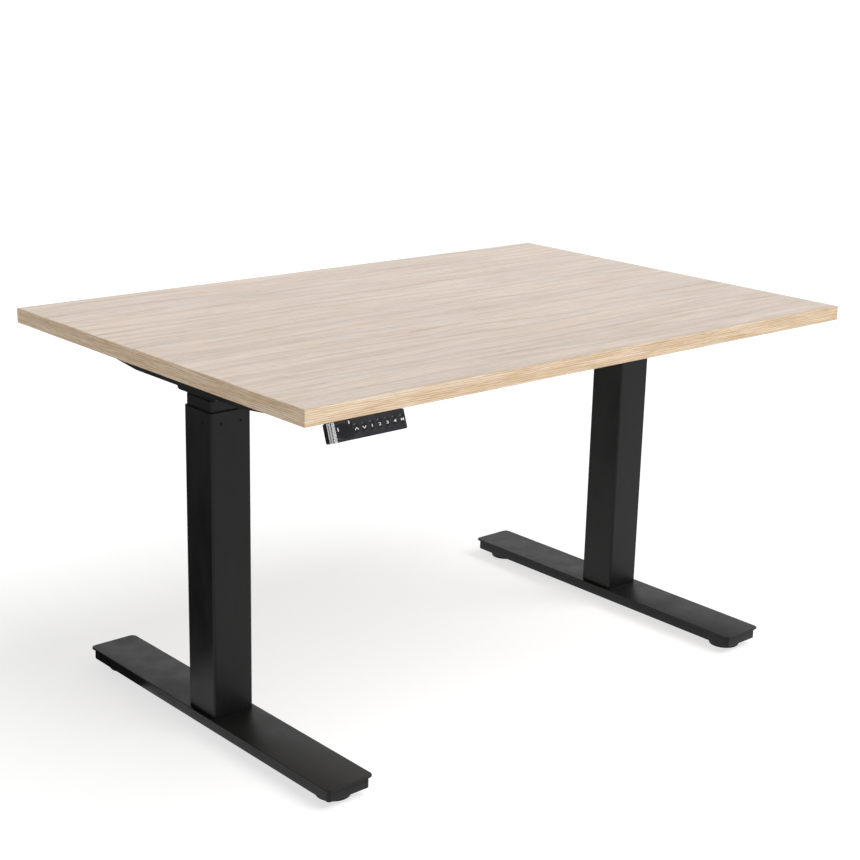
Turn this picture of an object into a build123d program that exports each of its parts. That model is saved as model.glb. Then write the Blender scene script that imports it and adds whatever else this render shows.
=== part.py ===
from build123d import *
from math import cos, radians, sin
import os

os.makedirs("parts", exist_ok=True)

# A sit-stand desk at its lowest setting, in millimetres. The origin is on the floor under the
# desktop's centre, +X along the front edge to the right, +Y to the back and +Z up.

# Desktop
top_length = 1200
top_depth = 800
top_thickness = 25
band_thickness = 2
band_rounding = 1.2

# Feet and glides
column_inset = 130          # column axis in from each end of the desktop
glide_gap = 13              # floor to the underside of the foot
foot_body = 19
foot_plate = 3
foot_length = 695
foot_width = 90
foot_corner = 10
foot_overhang = 5
foot_wall = 2
glide_inset = 45
pad_radius = 30
pad_taper = 9
pad_rounding = 1.5
pad_gap = 0.5               # pad's top below the foot
stud_radius = 4
stud_foot_radius = 7
stud_foot_height = 3
stud_foot_rise = 5
stud_nut = 14               # across the flats
stud_nut_height = 4
boss_radius = 10

# Lifting columns
outer_width = 75
outer_corner = 4
outer_length = 516
middle_width = 70
middle_corner = 3.5
middle_rise = 18.5          # middle tube standing out of the outer tube
inner_width = 65
inner_corner = 3
inner_rise = 4.5            # inner tube standing out of the middle tube
tube_wall = 1.5
stage_travel = 325
column_plate = 6
middle_plate = 4
inner_plate = 4
stage_gap = 5               # between one tube's bottom plate and the part below it
flange_gap = 3.7            # hollow screw's flange to the inner tube's bottom plate
guide_length = 60
guide_width = 20
guide_spread = 36
guide_lip = 1.2
guide_clearance = 0.15
clip_radius = 2.5
clip_spread = 36
clip_drop = 18
clip_side = 14

# Lifting screws
fixed_screw_radius = 5
screw_flange_radius = 12
screw_flange_height = 4
shaft_bore = 5.6
shaft_nose_radius = 6.6
shaft_end_gap = 8           # drive shaft's end above the hollow screw's nut
shaft_way_radius = 12       # hole for the shaft in the plates it passes
shaft_hex = 15              # across the flats
hollow_screw_radius = 12
hollow_bore = 9.4
hollow_nose_radius = 10.4
hollow_flange_radius = 18
hollow_flange_height = 4
screw_nut_length = 20
screw_reserve = 12          # thread left beyond the end of the travel
fixed_screw_reserve = 8
lift_nut_radius = 22
lift_nut_length = 30

# Gearbox and motor
gearbox_length = 64
gearbox_front = 26
gearbox_back = 37
gearbox_height = 46
gearbox_wall = 4
drive_rise = 24             # worm's axis above the gearbox's underside
ear_width_x = 14
ear_reach = 11
ear_root = 1                # let into the housing's wall
ear_bolt_spread = 44
wheel_radius = 17.7
wheel_width = 16
worm_radius = 7
worm_length = 28
worm_shaft_radius = 4
journal_radius = 9
motor_radius = 22
motor_length = 100
motor_wall = 3
motor_rounding = 2
rotor_radius = 15
rotor_length = 70
rotor_gap = 2

# Frame under the desktop
beam_width = 108
beam_height = 52.5
beam_wall = 2
beam_corner = 7
beam_lip = 14
beam_outer_end = 39         # past the column axis, towards the desktop's end
beam_inner_end = 320        # past the column axis, towards the middle
rail_overlap = 150
rail_height = 46
rail_clearance = 0.5
rail_bolt_inset = 30        # in from both ends of the overlap
beam_bolt_margin = 8        # in from the crossbeam's side
beam_bolt_inset = 16        # in from the bracket flange's inner edge
bracket_thickness = 2.5
bracket_reach = 57          # bracket face past the column axis
bracket_flange = 50
bracket_setback = 100       # bracket's ends in from the desktop's front and back edges
bracket_screw_end = 30      # outer screws in from the bracket's ends
bracket_screw_inner = 120   # inner screws from the bracket's middle
bracket_depth = 41
bracket_end_depth = 24.7
bracket_full_half = 146
bracket_corner = 10

# Control box, in the middle of the crossbeam
box_length = 240
box_width = 80
box_base_height = 30
box_lid_height = 13
box_wall = 2
box_foot_gap = 6            # board above the tray's floor
post_radius = 3
post_inset = 10             # in from the tray's inner walls
ear_length = 16
ear_width = 24
ear_thickness = 3
board_thickness = 1.6
board_gap = 1
transformer = (52, 44, 24)
transformer_x = -50
capacitor_radius = 7
capacitor_height = 20
capacitor_x = 20
capacitor_pitch = 16
heat_sink = (30, 24, 6)
heat_sink_x = 62
bay_width = 50              # opening for the plugs, in each end
bay_height = 10
bay_drop = 5                # below the lid

# Handset under the front edge
handset_offset = 39         # in from the desktop's left end
handset_height = 28.7
handset_depth = 14
handset_tilt = 19.6
handset_wall = 1.5
handset_corner = 2
cover_thickness = 2.5
cover_depth = 4
cover_rounding = 0.8
flange_depth = 50
flange_thickness = 3
flange_screw_inset = 12     # in from the flange's back edge
flange_screw_spread = 90
window_width = 28
window_height = 22
window_margin = 12
window_thickness = 1
key_first = 47              # first key's centre from the handset's left end
key_pitch = 13.7
key_end = 5.8               # last key's centre from the handset's right end
key_centre = 14.8           # down from the face's top edge
key_width = 8
key_height = 14
key_retainer = 1.5
key_retainer_thickness = 0.7

# Fasteners and fits
bolt_radius = 3
bolt_head_radius = 5
bolt_head_height = 3.5
foot_bolt_radius = 4
foot_bolt_head_radius = 6.5
foot_bolt_head_height = 5
bolt_pitch = 44
countersink_radius = 5
screw_radius = 2.2
screw_head_radius = 4
screw_head_height = 2.5
screw_bite = 18
screw_end_gap = 2           # pilot hole deeper than its screw
rail_bolt_end = 2           # rail bolt's end past the rail's wall
bolt_clearance = 0.3
way_clearance = 1           # round a screw that passes a plate
turning_clearance = 0.3     # threads, splines and glides
bearing_clearance = 0.05
face_clearance = 0.3
key_clearance = 0.2

# What there is several of
sides = {"left": -1, "right": 1}
corners = {"front_left": (-1, -1), "front_right": (1, -1), "back_left": (-1, 1), "back_right": (1, 1)}
key_names = ("key_up", "key_down", "key_1", "key_2", "key_3", "key_4", "key_memory")

# Heights and places that follow from the sizes above
foot_top = glide_gap + foot_body + foot_plate
plate_low = foot_top - foot_plate
outer_top = foot_top + outer_length
middle_top = outer_top + middle_rise
beam_low = middle_top + inner_rise
beam_top = beam_low + beam_height
underside = beam_top + bracket_thickness
desk_top = underside + top_thickness
column_x = top_length / 2 - column_inset
glide_y = foot_length / 2 - glide_inset
pad_height = glide_gap - pad_gap
column_floor = foot_top + column_plate
middle_low = column_floor + stage_gap
hollow_low = middle_low + middle_plate + face_clearance
inner_low = hollow_low + hollow_flange_height + flange_gap
drive_z = beam_low + beam_wall + drive_rise
worm_y = wheel_radius + worm_radius + turning_clearance
board_length = top_length - 2 * band_thickness
board_depth = top_depth - 2 * band_thickness
bracket_length = top_depth - 2 * bracket_setback
handset_width = key_first + (len(key_names) - 1) * key_pitch + key_end
front_y = -top_depth / 2
handset_x = -top_length / 2 + handset_offset + handset_width / 2
face_out = (0, -cos(radians(handset_tilt)), sin(radians(handset_tilt)))
face = Plane(origin=(handset_x, front_y, underside), x_dir=(1, 0, 0), z_dir=face_out)

# Places of the wood screws, on the underside of the desktop
bracket_screw_x = column_x + bracket_reach - bracket_flange / 2
bracket_screw_outer = bracket_length / 2 - bracket_screw_end
bracket_screw_ys = (-bracket_screw_outer, -bracket_screw_inner, bracket_screw_inner, bracket_screw_outer)
flange_screw_y = front_y + flange_depth - flange_screw_inset
ear_screw_x = box_length / 2 + ear_length / 2


def save(builder, name):
    """Name a finished piece and write it to its own file."""
    builder.part.label = name
    export_step(builder.part, f"parts/{name}.step")


def square(width, corner, x, z):
    """A square section with round corners on a column's axis."""
    with BuildSketch(Plane.XY.offset(z)) as section:
        with Locations((x, 0)):
            RectangleRounded(width, width, corner)
    return section.sketch


def square_ring(width, corner, wall, x, z):
    """The section of a square tube on a column's axis."""
    with BuildSketch(Plane.XY.offset(z)) as section:
        with Locations((x, 0)):
            RectangleRounded(width, width, corner)
            RectangleRounded(width - 2 * wall, width - 2 * wall, corner - wall, mode=Mode.SUBTRACT)
    return section.sketch


def discs(radius, places, z):
    """Circles of one radius at the given places."""
    with BuildSketch(Plane.XY.offset(z)) as section:
        with Locations(*places):
            Circle(radius)
    return section.sketch


def bar(width, height, x, y, z):
    """A rectangle, centred at x and y, at height z."""
    with BuildSketch(Plane.XY.offset(z)) as section:
        with Locations((x, y)):
            Rectangle(width, height)
    return section.sketch


def square_places(x, pitch):
    """The four corners of a square bolt pattern round a column's axis."""
    half = pitch / 2
    return [(x - half, -half), (x + half, -half), (x - half, half), (x + half, half)]


def desk_screw_places():
    """Where the wood screws go into the underside of the desktop."""
    places = [(sx * bracket_screw_x, y) for sx in (-1, 1) for y in bracket_screw_ys]
    places += [(handset_x + s * flange_screw_spread / 2, flange_screw_y) for s in (-1, 1)]
    places += [(s * ear_screw_x, 0) for s in (-1, 1)]
    return places


# ---------------------------------------------------------------- desktop


def make_board():
    """The chipboard panel, with pilot holes for the wood screws."""
    with BuildPart() as board:
        extrude(bar(board_length, board_depth, 0, 0, underside), amount=top_thickness)
        holes = discs(screw_radius + bolt_clearance, desk_screw_places(), underside)
        extrude(holes, amount=screw_bite, mode=Mode.SUBTRACT)
    return board


def make_long_band(sy):
    """An edge band along the front or back, over the ends of the short bands."""
    y = sy * (top_depth - band_thickness) / 2
    with BuildPart() as band:
        extrude(bar(top_length, band_thickness, 0, y, underside), amount=top_thickness)
        outer = band.faces().sort_by(Axis.Y)[-1 if sy > 0 else 0]
        fillet(outer.edges(), band_rounding)
    return band


def make_short_band(sx):
    """An edge band along one end of the desktop, between the long bands."""
    x = sx * (top_length - band_thickness) / 2
    with BuildPart() as band:
        extrude(bar(band_thickness, board_depth, x, 0, underside), amount=top_thickness)
        outer = band.faces().sort_by(Axis.X)[-1 if sx > 0 else 0]
        fillet(outer.edges().filter_by(Axis.Y), band_rounding)
    return band


# ------------------------------------------------------------ feet, glides


def make_foot(sx):
    """A foot: a plate over a folded channel, with a threaded boss for each glide."""
    x = sx * column_x
    boss_low = glide_gap + stud_nut_height + face_clearance
    body_width = foot_width - 2 * foot_overhang
    body_length = foot_length - 2 * foot_overhang
    with BuildPart() as foot:
        with BuildSketch(Plane.XY.offset(plate_low)):
            with Locations((x, 0)):
                RectangleRounded(foot_width, foot_length, foot_corner)
        extrude(amount=foot_plate)
        with BuildSketch(Plane.XY.offset(glide_gap)):
            with Locations((x, 0)):
                RectangleRounded(body_width, body_length, foot_corner - foot_overhang)
                RectangleRounded(
                    body_width - 2 * foot_wall,
                    body_length - 2 * foot_wall,
                    foot_corner - foot_overhang - foot_wall,
                    mode=Mode.SUBTRACT,
                )
        extrude(amount=foot_body)
        ends = [(x, -glide_y), (x, glide_y)]
        extrude(discs(boss_radius, ends, boss_low), amount=plate_low - boss_low)
        bore = discs(stud_radius + turning_clearance, ends, boss_low)
        extrude(bore, amount=plate_low - boss_low, mode=Mode.SUBTRACT)
        holes = discs(foot_bolt_radius + bolt_clearance, square_places(x, bolt_pitch), plate_low)
        extrude(holes, amount=foot_plate, mode=Mode.SUBTRACT)
    return foot


def make_pad(sx, sy):
    """A levelling glide's pad: a tapered puck with a socket for the stud's foot."""
    place = [(sx * column_x, sy * glide_y)]
    socket_low = stud_foot_rise - face_clearance
    socket_high = stud_foot_rise + stud_foot_height + face_clearance
    with BuildPart() as pad:
        extrude(discs(pad_radius, place, pad_height), amount=-pad_height, taper=pad_taper)
        fillet(pad.edges().filter_by(GeomType.CIRCLE).group_by(Axis.Z)[0], pad_rounding)
        fillet(pad.edges().filter_by(GeomType.CIRCLE).group_by(Axis.Z)[-1], pad_rounding)
        socket = discs(stud_foot_radius + turning_clearance, place, socket_low)
        extrude(socket, amount=socket_high - socket_low, mode=Mode.SUBTRACT)
        neck = discs(stud_radius + turning_clearance, place, socket_high)
        extrude(neck, amount=pad_height - socket_high, mode=Mode.SUBTRACT)
    return pad


def make_stud(sx, sy):
    """A glide's threaded stud, with its round foot and the flats that a spanner turns."""
    x = sx * column_x
    y = sy * glide_y
    nut_low = pad_height + face_clearance
    with BuildPart() as stud:
        extrude(discs(stud_foot_radius, [(x, y)], stud_foot_rise), amount=stud_foot_height)
        stud_low = stud_foot_rise + stud_foot_height
        stem = discs(stud_radius, [(x, y)], stud_low)
        extrude(stem, amount=plate_low - face_clearance - stud_low)
        with BuildSketch(Plane.XY.offset(nut_low)):
            with Locations((x, y)):
                RegularPolygon(stud_nut / 2, 6, major_radius=False)
        extrude(amount=stud_nut_height)
    return stud


# ---------------------------------------------------------- column tubes


def clip_places(sx):
    """Planes through the outer tube's wall where the guide's clips show."""
    x = sx * column_x
    half = outer_width / 2
    z = outer_top - clip_drop
    front = [Plane((x + s * clip_spread / 2, -half, z), z_dir=(0, 1, 0)) for s in (-1, 1)]
    side = Plane((x + sx * half, -clip_side, z), z_dir=(-sx, 0, 0))
    return front + [side]


def make_outer_tube(sx):
    """The lowest tube, closed at the bottom by the plate that bolts to the foot."""
    x = sx * column_x
    with BuildPart() as tube:
        extrude(square_ring(outer_width, outer_corner, tube_wall, x, foot_top), amount=outer_length)
        bore = outer_width - 2 * tube_wall
        extrude(square(bore, outer_corner - tube_wall, x, foot_top), amount=column_plate)
        holes = discs(foot_bolt_radius + bolt_clearance, square_places(x, bolt_pitch), foot_top)
        extrude(holes, amount=column_plate, mode=Mode.SUBTRACT)
        for place in clip_places(sx):
            with BuildSketch(place):
                Circle(clip_radius)
            extrude(amount=tube_wall, mode=Mode.SUBTRACT)
    return tube


def make_middle_tube(sx):
    """The middle tube, with the bottom plate that carries the hollow screw."""
    x = sx * column_x
    with BuildPart() as tube:
        ring = square_ring(middle_width, middle_corner, tube_wall, x, middle_low)
        extrude(ring, amount=middle_top - middle_low)
        bore = middle_width - 2 * tube_wall
        extrude(square(bore, middle_corner - tube_wall, x, middle_low), amount=middle_plate)
        seat = discs(hollow_nose_radius + turning_clearance, [(x, 0)], middle_low)
        extrude(seat, amount=middle_plate, mode=Mode.SUBTRACT)
    return tube


def make_inner_tube(sx):
    """The highest tube, with a plate for the lift nut below and one for the crossbeam above."""
    x = sx * column_x
    with BuildPart() as tube:
        ring = square_ring(inner_width, inner_corner, tube_wall, x, inner_low)
        extrude(ring, amount=beam_low - inner_low)
        bore = inner_width - 2 * tube_wall
        extrude(square(bore, inner_corner - tube_wall, x, inner_low), amount=inner_plate)
        top_plate = square(bore, inner_corner - tube_wall, x, beam_low - column_plate)
        extrude(top_plate, amount=column_plate)
        screw_way = discs(hollow_screw_radius + way_clearance, [(x, 0)], inner_low)
        extrude(screw_way, amount=inner_plate, mode=Mode.SUBTRACT)
        shaft_way = discs(shaft_way_radius, [(x, 0)], beam_low - column_plate)
        extrude(shaft_way, amount=column_plate, mode=Mode.SUBTRACT)
        holes = discs(bolt_radius + bolt_clearance, square_places(x, bolt_pitch), beam_low)
        extrude(holes, amount=-column_plate, mode=Mode.SUBTRACT)
    return tube


def guide_sections(x, tube, inside, top):
    """Eight slide pads under a lip, between a tube's inner faces and the next tube."""
    depth = (tube - inside) / 2 - tube_wall - guide_clearance
    reach = tube / 2 - tube_wall - depth / 2
    spots = []
    for s in (-1, 1):
        for side in (-1, 1):
            spots.append((guide_width, depth, x + s * guide_spread / 2, side * reach))
            spots.append((depth, guide_width, x + side * reach, s * guide_spread / 2))
    return [bar(w, h, px, py, top) for w, h, px, py in spots]


def make_outer_guides(sx):
    """The plastic guide in the mouth of the outer tube, with its clips in the tube's wall."""
    x = sx * column_x
    with BuildPart() as guides:
        with BuildSketch(Plane.XY.offset(outer_top)):
            with Locations((x, 0)):
                RectangleRounded(outer_width, outer_width, outer_corner)
                RectangleRounded(
                    middle_width + 2 * face_clearance,
                    middle_width + 2 * face_clearance,
                    middle_corner + face_clearance,
                    mode=Mode.SUBTRACT,
                )
        extrude(amount=guide_lip)
        for pad in guide_sections(x, outer_width, middle_width, outer_top):
            extrude(pad, amount=-guide_length)
        for place in clip_places(sx):
            with BuildSketch(place):
                Circle(clip_radius - key_clearance)
            extrude(amount=tube_wall)
    return guides


def make_middle_guides(sx):
    """The plastic guide in the mouth of the middle tube."""
    x = sx * column_x
    with BuildPart() as guides:
        with BuildSketch(Plane.XY.offset(middle_top)):
            with Locations((x, 0)):
                RectangleRounded(middle_width, middle_width, middle_corner)
                RectangleRounded(
                    inner_width + 2 * face_clearance,
                    inner_width + 2 * face_clearance,
                    inner_corner + face_clearance,
                    mode=Mode.SUBTRACT,
                )
        extrude(amount=guide_lip)
        for pad in guide_sections(x, middle_width, inner_width, middle_top):
            extrude(pad, amount=-guide_length)
    return guides


# --------------------------------------------------------- lifting screws

hollow_top = inner_low + inner_plate + lift_nut_length + stage_travel + screw_reserve
shaft_low = hollow_low + screw_nut_length + shaft_end_gap
fixed_screw_top = hollow_low + screw_nut_length + stage_travel + fixed_screw_reserve


def make_fixed_screw(sx):
    """The screw that stands still on the outer tube's bottom plate."""
    x = sx * column_x
    with BuildPart() as screw:
        extrude(discs(screw_flange_radius, [(x, 0)], column_floor), amount=screw_flange_height)
        stem = discs(fixed_screw_radius, [(x, 0)], column_floor)
        extrude(stem, amount=fixed_screw_top - column_floor)
    return screw


def make_hollow_screw(sx):
    """The turning screw: a nut on the fixed screw, a thread for the lift nut, a hexagonal mouth."""
    x = sx * column_x
    with BuildPart() as screw:
        flange = discs(hollow_flange_radius, [(x, 0)], hollow_low)
        extrude(flange, amount=hollow_flange_height)
        extrude(discs(hollow_screw_radius, [(x, 0)], hollow_low), amount=hollow_top - hollow_low)
        nose = discs(hollow_nose_radius, [(x, 0)], hollow_low)
        extrude(nose, amount=-middle_plate)
        nut_bore = discs(fixed_screw_radius + turning_clearance, [(x, 0)], middle_low)
        extrude(nut_bore, amount=hollow_low + screw_nut_length - middle_low, mode=Mode.SUBTRACT)
        bore_low = hollow_low + screw_nut_length
        bore = discs(hollow_bore, [(x, 0)], bore_low)
        extrude(bore, amount=hollow_top - screw_nut_length - bore_low, mode=Mode.SUBTRACT)
        with BuildSketch(Plane.XY.offset(hollow_top - screw_nut_length)):
            with Locations((x, 0)):
                RegularPolygon(shaft_hex / 2 + turning_clearance, 6, major_radius=False)
        extrude(amount=screw_nut_length, mode=Mode.SUBTRACT)
    return screw


def make_lift_nut(sx):
    """The nut on the inner tube's bottom plate, which climbs the hollow screw."""
    x = sx * column_x
    low = inner_low + inner_plate
    with BuildPart() as nut:
        extrude(discs(lift_nut_radius, [(x, 0)], low), amount=lift_nut_length)
        bore = discs(hollow_screw_radius + turning_clearance, [(x, 0)], low)
        extrude(bore, amount=lift_nut_length, mode=Mode.SUBTRACT)
    return nut


def make_drive_shaft(sx):
    """The hexagonal tube that turns the hollow screw, with the worm wheel at its top."""
    x = sx * column_x
    floor_low = beam_low + beam_wall
    with BuildPart() as shaft:
        with BuildSketch(Plane.XY.offset(shaft_low)):
            with Locations((x, 0)):
                RegularPolygon(shaft_hex / 2, 6, major_radius=False)
        extrude(amount=drive_z - shaft_low)
        extrude(discs(journal_radius, [(x, 0)], floor_low), amount=drive_z - floor_low)
        wheel = discs(wheel_radius, [(x, 0)], drive_z - wheel_width / 2)
        extrude(wheel, amount=wheel_width)
        head_top = floor_low + gearbox_height
        extrude(discs(shaft_nose_radius, [(x, 0)], drive_z), amount=head_top - drive_z)
        bore = discs(shaft_bore, [(x, 0)], shaft_low)
        extrude(bore, amount=drive_z - wheel_width / 2 - shaft_low, mode=Mode.SUBTRACT)
    return shaft


# ------------------------------------------------------ gearbox and motor


def make_gearbox(sx):
    """The gearbox housing over a column, with bearings for the shaft and the worm."""
    x = sx * column_x
    low = beam_low + beam_wall
    width = gearbox_front + gearbox_back
    mid_y = (gearbox_back - gearbox_front) / 2
    with BuildPart() as box:
        extrude(bar(gearbox_length, width, x, mid_y, low), amount=gearbox_height)
        cavity = bar(gearbox_length - 2 * gearbox_wall, width - 2 * gearbox_wall, x, mid_y,
                     low + gearbox_wall)
        for px, py in gearbox_bolt_places(sx):
            edge_y = gearbox_back if py > 0 else -gearbox_front
            outward = 1 if py > 0 else -1
            ear_y = edge_y + outward * (ear_reach / 2 - ear_root)
            extrude(bar(ear_width_x, ear_reach, px, ear_y, low), amount=gearbox_wall)
        extrude(cavity, amount=gearbox_height - 2 * gearbox_wall, mode=Mode.SUBTRACT)
        lower = discs(journal_radius + bearing_clearance, [(x, 0)], low)
        extrude(lower, amount=gearbox_wall, mode=Mode.SUBTRACT)
        upper = discs(shaft_nose_radius + bearing_clearance, [(x, 0)], low + gearbox_height)
        extrude(upper, amount=-gearbox_wall, mode=Mode.SUBTRACT)
        with BuildSketch(Plane((x - gearbox_length / 2, worm_y, drive_z), z_dir=(1, 0, 0))):
            Circle(worm_shaft_radius + bearing_clearance)
        extrude(amount=gearbox_length, mode=Mode.SUBTRACT)
        holes = discs(bolt_radius + bolt_clearance, gearbox_bolt_places(sx), low)
        extrude(holes, amount=gearbox_wall, mode=Mode.SUBTRACT)
    return box


def gearbox_bolt_places(sx):
    """The bolts in the gearbox's ears, two in front of it and two behind."""
    x = sx * column_x
    step = bolt_head_radius + key_clearance
    rows = (-gearbox_front - step, gearbox_back + step)
    return [(x + s * ear_bolt_spread / 2, y) for y in rows for s in (-1, 1)]


def motor_plane(sx, out):
    """A plane across the worm's axis, out from the gearbox's face on the motor's side."""
    x = sx * (column_x - gearbox_length / 2 - out)
    return Plane((x, worm_y, drive_z), z_dir=(-sx, 0, 0))


def make_motor(sx):
    """The motor's case: a round can with closed ends, bored for the worm's shaft."""
    with BuildPart() as motor:
        with BuildSketch(motor_plane(sx, 0)):
            Circle(motor_radius)
        extrude(amount=motor_length)
        fillet(motor.edges().filter_by(GeomType.CIRCLE), motor_rounding)
        with BuildSketch(motor_plane(sx, motor_wall)):
            Circle(motor_radius - motor_wall)
        extrude(amount=motor_length - 2 * motor_wall, mode=Mode.SUBTRACT)
        with BuildSketch(motor_plane(sx, 0)):
            Circle(worm_shaft_radius + bearing_clearance)
        extrude(amount=motor_wall, mode=Mode.SUBTRACT)
    return motor


def make_motor_worm(sx):
    """The rotor and worm on one shaft, from inside the motor across the gearbox."""
    shaft_length = gearbox_length + motor_wall + rotor_length + 2 * motor_wall
    rotor_start = motor_wall + rotor_gap
    with BuildPart() as worm:
        with BuildSketch(motor_plane(sx, -gearbox_length)):
            Circle(worm_shaft_radius)
        extrude(amount=shaft_length)
        with BuildSketch(motor_plane(sx, -(gearbox_length + worm_length) / 2)):
            Circle(worm_radius)
        extrude(amount=worm_length)
        with BuildSketch(motor_plane(sx, rotor_start)):
            Circle(rotor_radius)
        extrude(amount=rotor_length)
    return worm


# ------------------------------------------------------------------ frame


def channel(width, height, corner, lip, x, low):
    """The section of a folded channel, open at the top, with lips turned in if lip is not 0."""
    with BuildSketch(Plane.YZ.offset(x)) as section:
        with Locations((0, low + height / 2)):
            Rectangle(width, height)
        fillet(section.vertices().group_by(Axis.Y)[0], corner)
        offset(amount=-beam_wall, mode=Mode.SUBTRACT)
        with Locations((0, low + height - beam_wall / 2)):
            Rectangle(width - 2 * (lip or beam_wall), beam_wall, mode=Mode.SUBTRACT)
    return section.sketch


beam_bolt_x = column_x + bracket_reach - bracket_flange + beam_bolt_inset
beam_bolt_y = beam_width / 2 - beam_bolt_margin
rail_half = column_x - beam_inner_end + rail_overlap
rail_bolt_xs = (rail_half - rail_bolt_inset, rail_half - rail_overlap + rail_bolt_inset)
rail_bolt_z = beam_low + beam_height / 2


def make_crossbeam_end(sx):
    """A channel over one column, closed at its outer end, which holds the gearbox and takes the rail."""
    x = sx * column_x
    length = beam_outer_end + beam_inner_end
    start = min(sx * (column_x + beam_outer_end), sx * (column_x - beam_inner_end))
    with BuildPart() as beam:
        extrude(channel(beam_width, beam_height, beam_corner, beam_lip, start, beam_low), amount=length)
        with BuildSketch(Plane.YZ.offset(sx * (column_x + beam_outer_end))) as end_plate:
            with Locations((0, beam_low + beam_height / 2)):
                Rectangle(beam_width, beam_height)
            fillet(end_plate.vertices().group_by(Axis.Y)[0], beam_corner)
        extrude(amount=-sx * beam_wall)
        shaft_way = discs(shaft_way_radius, [(x, 0)], beam_low)
        extrude(shaft_way, amount=beam_wall, mode=Mode.SUBTRACT)
        with Locations(*[(px, py, beam_low + beam_wall) for px, py in square_places(x, bolt_pitch)]):
            CounterSinkHole(bolt_radius + bolt_clearance, countersink_radius + bolt_clearance, beam_wall)
        holes = discs(bolt_radius + bolt_clearance, gearbox_bolt_places(sx), beam_low)
        extrude(holes, amount=beam_wall, mode=Mode.SUBTRACT)
        lip_places = [(sx * beam_bolt_x, s * beam_bolt_y) for s in (-1, 1)]
        lip_holes = discs(bolt_radius + bolt_clearance, lip_places, beam_top)
        extrude(lip_holes, amount=-beam_wall, mode=Mode.SUBTRACT)
        with BuildSketch(Plane.XZ.offset(-beam_width / 2)):
            with Locations(*[(sx * bx, rail_bolt_z) for bx in rail_bolt_xs]):
                Circle(bolt_radius + bolt_clearance)
        extrude(amount=beam_width, mode=Mode.SUBTRACT)
    return beam


def make_crossbeam_centre():
    """The rail that slides inside both crossbeam ends and holds the control box."""
    width = beam_width - 2 * beam_wall - 2 * rail_clearance
    low = beam_low + beam_wall
    corner = beam_corner - beam_wall + rail_clearance
    with BuildPart() as rail:
        extrude(channel(width, rail_height, corner, 0, -rail_half, low), amount=2 * rail_half)
        with BuildSketch(Plane.XZ.offset(-beam_width / 2)):
            with Locations(*[(sx * bx, rail_bolt_z) for sx in (-1, 1) for bx in rail_bolt_xs]):
                Circle(bolt_radius + bolt_clearance)
        extrude(amount=beam_width, mode=Mode.SUBTRACT)
    return rail


def make_side_bracket(sx):
    """A folded bracket along one end: a flange under the desktop and a web that tapers to its ends."""
    outer_x = sx * (column_x + bracket_reach)
    half = bracket_length / 2
    low = underside - bracket_depth
    end_low = underside - bracket_end_depth
    with BuildPart() as bracket:
        with BuildSketch(Plane((outer_x, 0, 0), x_dir=(0, 1, 0), z_dir=(1, 0, 0))) as web:
            with BuildLine():
                Polyline(
                    (-half, underside), (-half, end_low), (-bracket_full_half, low),
                    (bracket_full_half, low), (half, end_low), (half, underside), close=True,
                )
            make_face()
            ends = [v for v in web.vertices() if abs(v.Y - end_low) < 0.01]
            fillet(ends, bracket_corner)
        extrude(amount=-sx * bracket_thickness)
        flange_x = outer_x - sx * bracket_flange / 2
        extrude(bar(bracket_flange, bracket_length, flange_x, 0, beam_top), amount=bracket_thickness)
        places = [(sx * bracket_screw_x, y) for y in bracket_screw_ys]
        holes = discs(screw_radius + bolt_clearance, places, beam_top)
        extrude(holes, amount=bracket_thickness, mode=Mode.SUBTRACT)
        lip_places = [(sx * beam_bolt_x, s * beam_bolt_y) for s in (-1, 1)]
        lip_holes = discs(bolt_radius + bolt_clearance, lip_places, beam_top)
        extrude(lip_holes, amount=bracket_thickness, mode=Mode.SUBTRACT)
    return bracket


# ------------------------------------------------------------ control box

box_top = underside - ear_thickness
lid_low = box_top - box_lid_height
box_low = lid_low - box_base_height


def make_box_base():
    """The control box's tray, with a bay for plugs in each end and posts for the board."""
    inside_length = box_length - 2 * box_wall
    inside_width = box_width - 2 * box_wall
    with BuildPart() as base:
        extrude(bar(box_length, box_width, 0, 0, box_low), amount=box_base_height)
        cavity = bar(inside_length, inside_width, 0, 0, box_low + box_wall)
        extrude(cavity, amount=box_base_height - box_wall, mode=Mode.SUBTRACT)
        with BuildSketch(Plane.XY.offset(box_low + box_wall)):
            with GridLocations(inside_length - 2 * post_inset, inside_width - 2 * post_inset, 2, 2):
                Circle(post_radius)
        extrude(amount=box_foot_gap)
        with BuildSketch(Plane.YZ.offset(-box_length / 2)):
            with Locations((0, lid_low - bay_drop - bay_height / 2)):
                Rectangle(bay_width, bay_height)
        extrude(amount=box_length, mode=Mode.SUBTRACT)
    return base


def make_box_lid():
    """The control box's lid, with an ear at each end that is screwed to the desktop."""
    with BuildPart() as lid:
        extrude(bar(box_length, box_width, 0, 0, lid_low), amount=box_lid_height)
        cavity = bar(box_length - 2 * box_wall, box_width - 2 * box_wall, 0, 0, lid_low)
        extrude(cavity, amount=box_lid_height - box_wall, mode=Mode.SUBTRACT)
        whole = box_length + 2 * ear_length
        extrude(bar(whole, ear_width, 0, 0, box_top), amount=ear_thickness)
        holes = discs(screw_radius + bolt_clearance, [(s * ear_screw_x, 0) for s in (-1, 1)], box_top)
        extrude(holes, amount=ear_thickness, mode=Mode.SUBTRACT)
    return lid


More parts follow.
